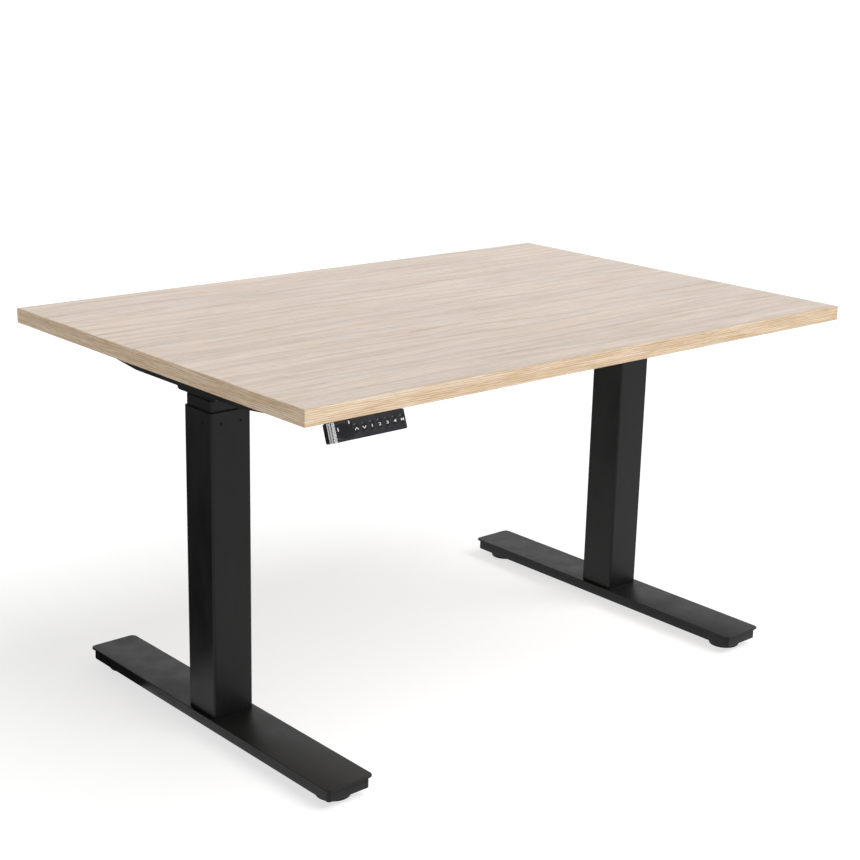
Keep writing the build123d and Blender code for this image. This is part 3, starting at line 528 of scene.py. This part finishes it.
def place_flag():
    """A black cloth on the floor at the left, seen only in reflections: it keeps the left faces dark."""
    material, tree, _, shader = start_material("black_flag_cloth")
    feed(tree, shader, {"Base Color": linear("#050505"), "Specular IOR Level": 0.0, "Roughness": 1.0})
    flag = level_sheet("studio_flag", material, 1.75, 1.6, (-1.95, 1.8, 0.004))
    flag.visible_camera = False
    flag.visible_diffuse = False
    flag.visible_transmission = False
    flag.visible_shadow = False


def place_lights(studio):
    """A white room that lights softly, a silk above the front, a lit wall behind, and two small lamps."""
    world = bpy.data.worlds.new("white_room")
    bpy.context.scene.world = world
    world.use_nodes = True
    tree = world.node_tree
    tree.nodes.clear()
    seen = add(tree, "ShaderNodeBackground", {"Color": (1, 1, 1, 1), "Strength": 1.05})
    lit = add(tree, "ShaderNodeBackground", {"Color": (1, 1, 1, 1), "Strength": studio.ambient})
    path = add(tree, "ShaderNodeLightPath")
    mix = add(tree, "ShaderNodeMixShader", {0: path.outputs["Is Camera Ray"], 1: lit.outputs[0],
                                            2: seen.outputs[0]})
    add(tree, "ShaderNodeOutputWorld", {"Surface": mix.outputs[0]})
    key = bpy.data.lights.new("key_silk", "SUN")
    key.angle = radians(48)
    key.energy = studio.key
    strip = area_light("strip_box", 0.3, 1.3, studio.strip)
    slit = area_light("slit_box", 0.24, 1.0, studio.slit)
    wall = area_light("back_wall", 5.0, 1.9, studio.wall)
    lights = (
        # each light, where it stands and what it is aimed at
        (key, (0.35, -0.55, 1.0), (0, 0, 0)),
        (strip, (-1.38, -3.13, 1.55), (-0.56, -0.4, 0.62)),
        (slit, (-0.26, -3.22, 1.6), (-0.56, -0.4, 0.62)),
        (wall, (2.8, 2.9, 1.6), (0, 0, 0.2)),
    )
    for data, place, aim in lights:
        light = bpy.data.objects.new(data.name, data)
        light.location = place
        light.rotation_euler = (Vector(aim) - Vector(place)).to_track_quat("-Z", "Y").to_euler()
        light.visible_camera = False
        bpy.context.scene.collection.objects.link(light)


def area_light(name, width, height, energy):
    """A rectangular lamp of the given size and power."""
    lamp = bpy.data.lights.new(name, "AREA")
    lamp.shape = "RECTANGLE"
    lamp.size = width
    lamp.size_y = height
    lamp.energy = energy
    return lamp


class DESK_OT_finishes(bpy.types.Operator):
    """Makes the materials and gives them to the CAD nodes that keep their own shape"""

    bl_idname = "desk.finishes"
    bl_label = "Finishes"

    def execute(self, context):
        MATERIALS.update(make_materials())
        worn = {
            "oak": ["desktop_board"],
            "band": [f"edge_band_{s}" for s in ("front", "back", "left", "right")],
            "steel": both("foot", "outer_tube", "middle_tube", "inner_tube", "crossbeam", "side_bracket")
            + ["crossbeam_centre"],
            "guide": both("outer_guides", "middle_guides"),
            "rolled": both("fixed_screw", "hollow_screw", "drive_shaft", "motor_worm"),
            "nut": both("lift_nut"),
            "cast": both("gearbox"),
            "can": both("motor"),
            "glide": [f"glide_pad_{c}" for c in CORNERS],
            "zinc": [f"glide_stud_{c}" for c in CORNERS] + ["desk_screws", "foot_bolts"],
            "oxide": ["frame_bolts"],
            "box": ["control_box_base", "control_box_lid"],
            "board": ["control_board"],
            "shell": ["handset_rear"],
            "gloss": ["handset_front", *KEYS],
            "pane": ["display_window"],
        }
        for name, nodes in worn.items():
            give(nodes, MATERIALS[name])
        return {"FINISHED"}


class DESK_OT_glides(bpy.types.Operator):
    """Models the four levelling glides' pads"""

    bl_idname = "desk.glides"
    bl_label = "Glides"

    def execute(self, context):
        for corner in CORNERS:
            low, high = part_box(f"glide_pad_{corner}")
            middle = (low + high) / 2
            centre = Vector((middle.x, middle.y, 0))
            bm = bmesh.new()
            spin_profile(bm, self.section((high.x - low.x) / 2 / MM, high.z / MM), centre, 72)
            finish_piece(bm, f"glide_puck_{corner}", "glide", f"pad_{corner}",
                         [f"glide_pad_{corner}"])
        return {"FINISHED"}

    def section(self, radius, height):
        """The puck's half section: a dished sole, a seam above it, a tapered side and the stud's socket."""
        outside = [(0, 0.6), (22.5, 0.6), (23.2, 0), (radius - 2.9, 0), (radius - 2.2, 0.25),
                   (radius - 1.75, 0.9), (radius - 1.65, 1.7), (radius - 2.0, 1.9), (radius - 2.0, 2.2),
                   (radius - 1.6, 2.4), (radius - 0.35, height - 2.2), (radius - 0.35, height - 1.4),
                   (radius - 0.7, height - 0.6), (radius - 1.5, height - 0.1), (radius - 2.4, height)]
        socket = [(5.2, height), (4.3, height - 0.5), (4.3, 8.3), (7.3, 8.3), (7.3, 4.7), (0, 4.7)]
        return outside + socket


class DESK_OT_feet(bpy.types.Operator):
    """Models the two feet: a cut plate, with a folded channel and two threaded bosses under it"""

    bl_idname = "desk.feet"
    bl_label = "Feet"

    def execute(self, context):
        steel = context.scene.desk_steel
        for side in SIDES:
            low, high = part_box(f"foot_{side}")
            middle = (low + high) / 2
            bm = bmesh.new()
            plate_low = high.z - steel.plate
            plate = add_box(bm, (low.x, low.y, plate_low), high)
            round_uprights(bm, plate, steel.foot_corner, 10)
            round_edges(bm, level_rim(bm, high.z) + level_rim(bm, plate_low), steel.edge, 3)
            # the channel reaches a little into the plate, as its weld does
            channel = bmesh.new()
            inward = Vector((steel.overhang, steel.overhang, 0))
            weld = Vector((0, 0, high.z - plate_low - 0.3 * MM))
            body = add_box(channel, low + inward, high - inward - weld)
            round_uprights(channel, body, steel.foot_corner - steel.overhang, 8)
            round_edges(channel, level_rim(channel, high.z - weld.z), steel.bend, 5)
            under = lowest_face(channel)
            bmesh.ops.inset_region(channel, faces=[under], thickness=steel.wall, use_even_offset=True)
            push_face(channel, under, plate_low - steel.wall - low.z)
            round_edges(channel, level_rim(channel, low.z, middle, low + inward), steel.fold, 3)
            join_into(bm, channel)
            for corner in CORNERS:
                if corner.endswith(side):
                    place = middle_of(f"glide_stud_{corner}")
                    place.z = 0
                    spin_profile(bm, self.boss(low.z / MM + 4.3, plate_low / MM + 0.5), place, 48)
            finish_piece(bm, f"foot_{side}_weldment", "steel", "base",
                         [f"foot_{side}"])
        return {"FINISHED"}

    def boss(self, under, root):
        """Half the section of a stud's boss, between two heights, with its weld at the root, in mm."""
        bore, outside, weld = 4.3, 10, 11.4
        return [(bore, root), (bore, under + 0.4), (bore + 0.4, under), (outside - 0.5, under),
                (outside, under + 0.5), (outside, root - 1.5), (weld, root - 0.5), (weld, root),
                (bore, root)]


def lowest_face(bm):
    """The largest of the level faces that lie lowest."""
    lowest = min(f.calc_center_median().z for f in bm.faces if abs(f.normal.z) > 0.9)
    flat = [f for f in bm.faces if abs(f.calc_center_median().z - lowest) < 1e-6 and abs(f.normal.z) > 0.9]
    return max(flat, key=lambda f: f.calc_area())


def push_face(bm, face, distance):
    """Extrude one face along Z and drop the face it started from."""
    made = bmesh.ops.extrude_discrete_faces(bm, faces=[face])
    bmesh.ops.translate(bm, vec=(0, 0, distance), verts=made["faces"][0].verts)


def level_rim(bm, z, middle=None, corner=None):
    """The edges at one height that part a level face from a steep one; with a middle and an outer
    corner given, only those of the outer ring."""
    rim = []
    for edge in bm.edges:
        if all(abs(v.co.z - z) < 1e-6 for v in edge.verts) and len(edge.link_faces) == 2:
            steep = [abs(f.normal.z) < 0.5 for f in edge.link_faces]
            if steep[0] != steep[1]:
                rim.append(edge)
    if corner is not None:
        reach = Vector((abs(corner.x - middle.x), abs(corner.y - middle.y)))
        rim = [e for e in rim if outer_ring(e, middle, reach)]
    return rim


def outer_ring(edge, middle, reach):
    """Whether an edge lies on the outer of two rings that are a sheet's thickness apart."""
    steel = bpy.context.scene.desk_steel
    half_wall = steel.wall / 2
    spot = (edge.verts[0].co + edge.verts[1].co) / 2 - middle
    x, y = reach.x - abs(spot.x), reach.y - abs(spot.y)
    corner = steel.foot_corner - steel.overhang
    if x < corner and y < corner:
        return Vector((corner - x, corner - y)).length > corner - half_wall
    return min(x, y) < half_wall


def face_matrix():
    """From the handset's face, x along it, y up it and z out of it, to the desk: the origin is at the
    middle of its top edge."""
    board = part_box("desktop_board")[0]
    tilt = bpy.context.scene.desk_handset.tilt
    right = Vector((1, 0, 0))
    up = Vector((0, sin(tilt), cos(tilt)))
    out = right.cross(up)
    top = Vector((middle_of("handset_front").x, board.y - 2 * MM, board.z))
    return Matrix.Translation(top) @ Matrix((right, up, out)).transposed().to_4x4()


class DESK_OT_handset(bpy.types.Operator):
    """Models the handset: a rear shell with its flange, a front cover with a rolled edge, and the window"""

    bl_idname = "desk.handset"
    bl_label = "Handset"

    def execute(self, context):
        settings = context.scene.desk_handset
        place = face_matrix()
        low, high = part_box("handset_front")
        half, height = (high.x - low.x) / 2, settings.height
        self.cover(place, half, height, settings)
        self.shell(place, half, height, settings)
        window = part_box("display_window")
        left, right = window[0].x - place.translation.x, window[1].x - place.translation.x
        bm = bmesh.new()
        bottom, top = (y * MM for y in WINDOW_SPAN)
        pane = add_box(bm, (left, bottom, -1 * MM), (right, top, -0.02 * MM))
        round_uprights(bm, pane, 0.3 * MM, 3)
        round_edges(bm, level_rim(bm, -0.02 * MM), 0.08 * MM, 2)
        finish_piece(bm, "display_pane", "pane", "top", ["display_window"],
                     place=place)
        return {"FINISHED"}

    def cover(self, place, half, height, settings):
        """The cover: a stepped left end, softened edges, a hollow back, and its openings."""
        depth, step = settings.cover_depth, settings.step
        # the outline across the handset, from the left end, as distance along and depth
        ends = [(-half, -depth), (-half, 0.4 * MM - depth), (-half + 4.9 * MM, -step),
                (-half + 6.1 * MM, -step), (-half + 10.9 * MM, 0), (half, 0), (half, -depth)]
        bm = bmesh.new()
        face = bm.faces.new([bm.verts.new((x, 0, z)) for x, z in ends])
        made = bmesh.ops.extrude_face_region(bm, geom=[face], use_keep_orig=True)["geom"]
        far = verts_in(made)
        bmesh.ops.translate(bm, vec=(0, -height, 0), verts=far)
        bmesh.ops.recalc_face_normals(bm, faces=bm.faces)
        right_end = [e for e in along(bm.edges, 2) if e.verts[0].co.x > half - 1e-6]
        round_edges(bm, right_end, 2.4 * MM, 6)
        across = [e for e in along(bm.edges, 1) if e.verts[0].co.z > -depth + 1 * MM]
        round_edges(bm, across, 0.4 * MM, 3)
        rims = [e for e in bm.edges if all(v.co.z > -depth + 0.1 * MM for v in e.verts)
                and abs(e.verts[0].co.y - e.verts[1].co.y) < 1e-6]
        round_edges(bm, rims, 0.35 * MM, 3)
        under = lowest_face(bm)
        bmesh.ops.inset_region(bm, faces=[under], thickness=1.5 * MM, use_even_offset=True)
        push_face(bm, under, depth - 2.5 * MM)
        slack = settings.key_gap
        for node in KEYS + ("display_window",):
            left, right = (corner.x - place.translation.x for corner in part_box(node))
            bottom, top = (y * MM for y in (WINDOW_SPAN if node == "display_window" else KEY_SPAN))
            cut_opening(bm, (left - slack, bottom - slack), (right + slack, top + slack))
        # the end's slopes are shallow, so only a small sharp angle keeps them flat
        finish_piece(bm, "handset_cover", "gloss", "top", ["handset_front"], 4,
                     place)
        self.aim_lamps()

    def aim_lamps(self):
        """Let the two small lamps shine on the cover alone, so they leave no spots on the desktop."""
        lit = bpy.data.collections.new("lit_by_small_lamps")
        lit.objects.link(bpy.data.objects["handset_cover"])
        for lamp in ("strip_box", "slit_box"):
            bpy.data.objects[lamp].light_linking.receiver_collection = lit

    def shell(self, place, half, height, settings):
        """The rear shell, stepped where it meets the cover, and the flange under the desktop."""
        bm = bmesh.new()
        back, seam = -settings.depth, -settings.cover_depth - 0.35 * MM
        body = add_box(bm, (-half + 0.25 * MM, -height + 0.25 * MM, back),
                       (half - 0.25 * MM, -0.25 * MM, seam))
        round_uprights(bm, body, 2 * MM, 6)
        round_edges(bm, level_rim(bm, back), 1.6 * MM, 5)
        lip = add_box(bm, (-half + 1.7 * MM, -height + 1.7 * MM, seam - 0.25 * MM),
                      (half - 1.7 * MM, -1.7 * MM, seam + 0.7 * MM))
        round_uprights(bm, lip, 1.5 * MM, 4)
        bmesh.ops.transform(bm, matrix=place, verts=bm.verts)
        low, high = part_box("handset_rear")
        flange = bmesh.new()
        sheet = add_box(flange, (low.x + 0.1 * MM, place.translation.y + 4.4 * MM, high.z - 3 * MM),
                        (high.x - 0.1 * MM, high.y, high.z))
        corners = [e for e in along(edges_of(sheet), 2) if e.verts[0].co.y > high.y - 1e-6]
        round_edges(flange, corners, 6 * MM, 6)
        round_edges(flange, level_rim(flange, high.z - 3 * MM), 0.4 * MM, 2)
        join_into(bm, flange)
        finish_piece(bm, "handset_shell", "shell", "top", ["handset_rear"])


def everything(bm):
    """All of a bmesh, as bisecting wants it."""
    return bm.verts[:] + bm.edges[:] + bm.faces[:]


def cut_opening(bm, low, high):
    """Cut a rectangular opening through a hollow plate's front and its inner face, and line it."""
    for axis in (0, 1):
        normal = [0, 0, 0]
        normal[axis] = 1
        for corner in (low, high):
            bmesh.ops.bisect_plane(bm, geom=everything(bm), dist=1e-7, plane_co=(*corner, 0),
                                   plane_no=normal)
    bmesh.ops.recalc_face_normals(bm, faces=bm.faces)
    inside = []
    for face in bm.faces:
        spot = face.calc_center_median()
        if abs(face.normal.z) > 0.9 and low[0] < spot.x < high[0] and low[1] < spot.y < high[1]:
            inside.append(face)
    bmesh.ops.delete(bm, geom=inside, context="FACES")
    bmesh.ops.bridge_loops(bm, edges=[e for e in bm.edges if e.is_boundary])


class DESK_OT_keys(bpy.types.Operator):
    """Models the seven keys and the white signs printed on them"""

    bl_idname = "desk.keys"
    bl_label = "Keys"

    def execute(self, context):
        place = face_matrix()
        settings = context.scene.desk_handset
        for key in KEYS:
            low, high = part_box(key)
            x = middle_of(key).x - place.translation.x
            self.cap(key, place, x, (high.x - low.x) / 2)
            self.sign(key, place @ Matrix.Translation((x, sum(KEY_SPAN) / 2 * MM, 0)), settings)
        return {"FINISHED"}

    def cap(self, key, place, x, half):
        """A key's cap with softened edges, and the lip behind it that keeps it in."""
        bm = bmesh.new()
        bottom, top = (y * MM for y in KEY_SPAN)
        lip = 1.5 * MM
        cap = add_box(bm, (x - half, bottom, -2.7 * MM), (x + half, top, 0))
        front = [e for e in edges_of(cap) if all(v.co.z > -1e-6 for v in e.verts)]
        round_edges(bm, along(edges_of(cap), 2) + front, 0.08 * MM, 2)
        add_box(bm, (x - half, bottom - lip, -3.4 * MM), (x + half, top + lip, -2.7 * MM))
        finish_piece(bm, f"{key}_cap", "gloss", key, [key], place=place)

    def sign(self, key, place, settings):
        """An arrow from two strokes, or a character, standing a hair out of the cap."""
        bm = bmesh.new()
        thick = 0.03 * MM  # half the ink's thickness
        if key in KEY_SIGNS:
            curve = bpy.data.curves.new(f"{key}_text", "FONT")
            curve.body = KEY_SIGNS[key]
            curve.size = settings.sign * 1.15
            curve.align_x = "CENTER"
            curve.align_y = "CENTER"
            curve.extrude = thick
            curve.offset = 0.015 * MM
            text = bpy.data.objects.new(f"{key}_text", curve)
            bpy.context.scene.collection.objects.link(text)
            bpy.context.view_layer.update()
            mesh = bpy.data.meshes.new_from_object(text)
            bpy.data.objects.remove(text)
            bm.from_mesh(mesh)
            bpy.data.meshes.remove(mesh)
            # centred by its ink, then widened; the M is wide already
            xs = [v.co.x for v in bm.verts]
            ys = [v.co.y for v in bm.verts]
            shift = Vector((-(min(xs) + max(xs)) / 2, -(min(ys) + max(ys)) / 2, 0))
            bmesh.ops.translate(bm, vec=shift, verts=bm.verts)
            wide = 1.25 if key == "key_memory" else 1.7
            bmesh.ops.scale(bm, vec=(wide, 0.88, 1), verts=bm.verts)
        else:
            turn = 1 if key == "key_up" else -1
            for side in (-1, 1):
                arm = add_box(bm, (-settings.stroke / 2, 0, -thick),
                              (settings.stroke / 2, settings.sign * 0.8, thick))
                spin = Matrix.Rotation(side * radians(138), 4, "Z")
                bmesh.ops.transform(bm, matrix=spin, verts=arm)
            bmesh.ops.translate(bm, vec=(0, settings.sign * 0.3, 0), verts=bm.verts)
            bmesh.ops.scale(bm, vec=(1, turn, 1), verts=bm.verts)
        finish_piece(bm, f"{key}_sign", "print", key,
                     place=place @ Matrix.Translation((0, 0, thick)))


class DESK_OT_display(bpy.types.Operator):
    """Models two small white marks in the smoked window: painted highlights, laid on in white ink"""

    bl_idname = "desk.display"
    bl_label = "Display"

    def execute(self, context):
        place = face_matrix()
        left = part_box("handset_front")[0].x - place.translation.x
        # each mark's middle from the handset's left end and down from its top edge, and its size, in mm
        marks = (("lower", 15.2, 11.2, 1.5, 5.1), ("upper", 35.7, 4.1, 1.8, 4.3))
        for name, along_mm, down_mm, width, height in marks:
            bm = bmesh.new()
            x, y = left + along_mm * MM, -down_mm * MM
            half = Vector((width * MM / 2, height * MM / 2))
            bar = add_box(bm, (x - half.x, y - half.y, -0.02 * MM), (x + half.x, y + half.y, 0.05 * MM))
            round_uprights(bm, bar, 0.6 * MM, 3)
            # painted highlights: white ink where the window shows two bright spots of light
            finish_piece(bm, f"display_mark_{name}", "print", "top",
                         place=place)
        return {"FINISHED"}


def head(bm, matrix, profile, socket, depth, segments=24):
    """A screw's head round a socket: the socket's outline is drawn on the top face, at height 0.

    The profile runs from the rim of the top face down to the base, as radius and height in mm, and the
    head is closed under its last ring. The socket's outline has as many points as there are segments.
    """
    inner = [bm.verts.new((x * MM, y * MM, 0)) for x, y in socket]
    inner_edges = [bm.edges.new((a, b)) for a, b in zip(inner, inner[1:] + inner[:1])]
    rim = bmesh.ops.create_circle(bm, cap_ends=False, radius=profile[0][0] * MM, segments=segments)["verts"]
    rim_edges = edges_of(rim)
    bmesh.ops.bridge_loops(bm, edges=inner_edges + rim_edges)
    ring = rim_edges
    for (r0, z0), (r1, z1) in zip(profile, profile[1:]):
        made = bmesh.ops.extrude_edge_only(bm, edges=ring)["geom"]
        verts = verts_in(made)
        ring = [g for g in made if isinstance(g, bmesh.types.BMEdge) and all(v in verts for v in g.verts)]
        bmesh.ops.scale(bm, vec=(r1 / r0, r1 / r0, 1), verts=verts)
        bmesh.ops.translate(bm, vec=(0, 0, (z1 - z0) * MM), verts=verts)
    bmesh.ops.contextual_create(bm, geom=ring)
    made = bmesh.ops.extrude_edge_only(bm, edges=inner_edges)["geom"]
    verts = verts_in(made)
    floor = [g for g in made if isinstance(g, bmesh.types.BMEdge) and all(v in verts for v in g.verts)]
    bmesh.ops.translate(bm, vec=(0, 0, -depth * MM), verts=verts)
    bmesh.ops.scale(bm, vec=(0.88, 0.88, 1), verts=verts)
    bmesh.ops.contextual_create(bm, geom=floor)
    bmesh.ops.transform(bm, matrix=matrix, verts=bm.verts)


def hexagon(flats, points=24):
    """A hexagon's outline with extra points along its sides, in mm."""
    reach = flats / 2 / cos(pi / 6)
    corners = [Vector((reach * cos(i * tau / 6), reach * sin(i * tau / 6))) for i in range(7)]
    step = points // 6
    return [tuple(a.lerp(b, i / step)) for a, b in zip(corners, corners[1:]) for i in range(step)]


def cross(reach, half, points=24):
    """A cross recess's outline, in mm."""
    inner = reach * 0.6
    arm = [(reach, -half), (reach, 0), (reach, half), (inner, half), (half, half), (half, inner)]
    turned = []
    for quarter in range(points // len(arm)):
        c, s = round(cos(quarter * pi / 2)), round(sin(quarter * pi / 2))
        turned += [(x * c - y * s, x * s + y * c) for x, y in arm]
    return turned


def islands(node):
    """The separate solids of a CAD node, each as its lowest and highest corner."""
    bm = bmesh.new()
    bm.from_mesh(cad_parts[node].data)
    bmesh.ops.remove_doubles(bm, verts=bm.verts, dist=1e-6)
    left, found = set(bm.verts), []
    while left:
        group, edge = set(), {left.pop()}
        while edge:
            group |= edge
            edge = {o for v in edge for e in v.link_edges for o in e.verts} - group
        left -= group
        found.append((Vector([min(v.co[i] for v in group) for i in range(3)]),
                      Vector([max(v.co[i] for v in group) for i in range(3)])))
    bm.free()
    return sorted(found, key=lambda box: tuple(round(c, 5) for c in box[0]))


def join_into(target, part):
    """Add one bmesh to another and free it."""
    mesh = bpy.data.meshes.new("part")
    part.to_mesh(mesh)
    part.free()
    target.from_mesh(mesh)
    bpy.data.meshes.remove(mesh)


class DESK_OT_bolts(bpy.types.Operator):
    """Models the frame's, the feet's and the desktop's fasteners with their drive recesses"""

    bl_idname = "desk.bolts"
    bl_label = "Fasteners"

    def execute(self, context):
        # the head's radius, the stem's radius, the head's height, the recess and its depth, in mm
        kinds = (
            ("foot_bolts", "zinc", "base", "zinc_steel", 6.5, 4, 5.0, hexagon(5), 2.6),
            ("frame_bolts", "oxide", "top", "black_bolts", 5, 3, 3.5, hexagon(4), 2.0),
            ("desk_screws", "zinc", "top", "zinc_steel", 4, 2.2, 2.5, cross(2.2, 0.45), 1.7),
        )
        for kind in kinds:
            self.group(*kind)
        return {"FINISHED"}

    def group(self, node, finish, body, slot, radius, stem, height, socket, depth):
        """Every fastener of a node: a rounded head, its recess and a pointed or bevelled stem."""
        bm = bmesh.new()
        for low, high in islands(node):
            size = high - low
            middle = (low + high) / 2
            long = max(size)
            axis = list(size).index(long)
            # frame bolts lie along Y in the rail; those above the column plates are countersunk
            if axis == 1:
                turn = Matrix.Rotation(radians(90 if middle.y < 0 else -90), 4, "X")
                top = Vector((middle.x, low.y if middle.y < 0 else high.y, middle.z))
            elif node == "frame_bolts" and self.head_up(low, high):
                turn = Matrix.Identity(4)
                top = Vector((middle.x, middle.y, high.z))
            else:
                turn = Matrix.Rotation(pi, 4, "X")
                top = Vector((middle.x, middle.y, low.z))
            whole = long / MM
            if node == "frame_bolts" and axis == 2 and abs(middle.y) < 30 * MM and self.head_up(low, high):
                profile = [(radius - 0.4, 0), (radius, -0.25), (stem, -2.2), (stem, -whole + 0.6),
                           (stem - 0.6, -whole)]
            elif node == "desk_screws":
                profile = [(radius * 0.72, 0), (radius * 0.9, -0.35), (radius, -1.0), (radius, -height),
                           (stem * 0.82, -height), (stem * 0.82, -whole + 5), (0.3, -whole)]
            else:
                profile = [(radius - 0.9, 0), (radius - 0.3, -0.25), (radius, -0.9), (radius, -height),
                           (stem, -height), (stem, -whole + 0.7), (stem - 0.7, -whole)]
            one = bmesh.new()
            head(one, Matrix.Translation(top) @ turn, profile, socket, depth)
            bmesh.ops.recalc_face_normals(one, faces=one.faces)
            join_into(bm, one)
        finish_piece(bm, f"{node}_socketed", finish, body, [node])

    def head_up(self, low, high):
        """Whether a frame bolt goes down from inside the crossbeam; those of the brackets go up."""
        return high.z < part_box("crossbeam_left")[1].z - 5 * MM


def thread(bm, centre, radius, pitch, low, high, depth, per_turn=24):
    """A closed length of screw thread: a ridge's section spun up the axis, a turn for each pitch, in mm."""
    ridge = bmesh.new()
    turns = int((high - low) / pitch) + 3
    root = radius - depth
    section = [(root, 0), (radius, 0.32 * pitch), (radius, 0.5 * pitch), (root, 0.82 * pitch),
               (root, pitch)]
    start = low - pitch
    verts = [ridge.verts.new((centre.x + r * MM, centre.y, (start + z) * MM)) for r, z in section]
    edges = [ridge.edges.new(pair) for pair in zip(verts, verts[1:])]
    bmesh.ops.spin(ridge, geom=verts + edges, cent=centre, axis=(0, 0, 1), angle=tau * turns,
                   steps=turns * per_turn, dvec=(0, 0, pitch * MM / per_turn), use_merge=False)
    bmesh.ops.remove_doubles(ridge, verts=ridge.verts, dist=2e-6)
    for z, above in ((low, False), (high, True)):
        cut = bmesh.ops.bisect_plane(ridge, geom=everything(ridge), dist=1e-7, plane_co=(0, 0, z * MM),
                                     plane_no=(0, 0, 1), clear_inner=not above,
                                     clear_outer=above)["geom_cut"]
        bmesh.ops.contextual_create(ridge, geom=[g for g in cut if isinstance(g, bmesh.types.BMEdge)])
    join_into(bm, ridge)


class DESK_OT_screws(bpy.types.Operator):
    """Models the glides' threaded studs"""

    bl_idname = "desk.screws"
    bl_label = "Studs"

    def execute(self, context):
        for corner in CORNERS:
            node = f"glide_stud_{corner}"
            low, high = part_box(node)
            centre = middle_of(node)
            centre.z = 0
            bottom, top = low.z / MM, high.z / MM
            bm = bmesh.new()
            foot = [(0, bottom), (6.4, bottom), (7, bottom + 0.6), (7, bottom + 2.5), (6.5, bottom + 3),
                    (3.2, bottom + 3), (3.2, top - 0.8), (2.6, top), (0, top)]
            spin_profile(bm, foot, centre, 32)
            thread(bm, centre, 4, 1.25, bottom + 3.2, top - 1, 0.7)
            reach = 7 / cos(pi / 6) * MM
            nut = bmesh.ops.create_circle(bm, cap_ends=True, radius=reach, segments=6)["verts"]
            bmesh.ops.rotate(bm, verts=nut, cent=(0, 0, 0), matrix=Matrix.Rotation(pi / 6, 3, "Z"))
            face = nut[0].link_faces[0]
            solid = bmesh.ops.extrude_face_region(bm, geom=[face], use_keep_orig=True)["geom"]
            up = verts_in(solid)
            bmesh.ops.translate(bm, vec=(0, 0, 4 * MM), verts=up)
            nut = nut + up
            round_edges(bm, edges_of(nut), 0.35 * MM, 2)
            # rounding made new vertices; the nut is all that still stands at the origin
            nut = [v for v in bm.verts if abs(v.co.x) < 9 * MM and abs(v.co.y) < 9 * MM]
            bmesh.ops.translate(bm, vec=(centre.x, centre.y, (bottom + 7.8) * MM), verts=nut)
            finish_piece(bm, f"{node}_threaded", "zinc", f"stud_{corner}", [node])
        return {"FINISHED"}


class DESK_PT_panel(bpy.types.Panel):
    """Lists the desk's operators"""

    bl_label = "Sit-stand desk"
    bl_idname = "DESK_PT_panel"
    bl_space_type = "VIEW_3D"
    bl_region_type = "UI"
    bl_category = "Desk"

    def draw(self, context):
        for operator in OPERATORS:
            self.layout.operator(operator.bl_idname)


SETTINGS = {"desk_oak": DeskOak, "desk_steel": DeskSteel, "desk_handset": DeskHandset,
            "desk_studio": DeskStudio}
OPERATORS = (DESK_OT_stage, DESK_OT_finishes, DESK_OT_feet, DESK_OT_glides, DESK_OT_handset, DESK_OT_keys,
             DESK_OT_display, DESK_OT_bolts, DESK_OT_screws)


def register():
    """Add the settings, the operators and the panel to Blender."""
    for group in SETTINGS.values():
        bpy.utils.register_class(group)
    for name, group in SETTINGS.items():
        setattr(bpy.types.Scene, name, PointerProperty(type=group))
    for operator in OPERATORS:
        bpy.utils.register_class(operator)
    bpy.utils.register_class(DESK_PT_panel)


def unregister():
    """Take them out again, last first."""
    bpy.utils.unregister_class(DESK_PT_panel)
    for operator in reversed(OPERATORS):
        bpy.utils.unregister_class(operator)
    for name in SETTINGS:
        delattr(bpy.types.Scene, name)
    for group in reversed(list(SETTINGS.values())):
        bpy.utils.unregister_class(group)


def main():
    """Build everything at rest."""
    register()
    for operator in OPERATORS:
        group, name = operator.bl_idname.split(".")
        getattr(getattr(bpy.ops, group), name)()


if __name__ == "__main__":
    main()
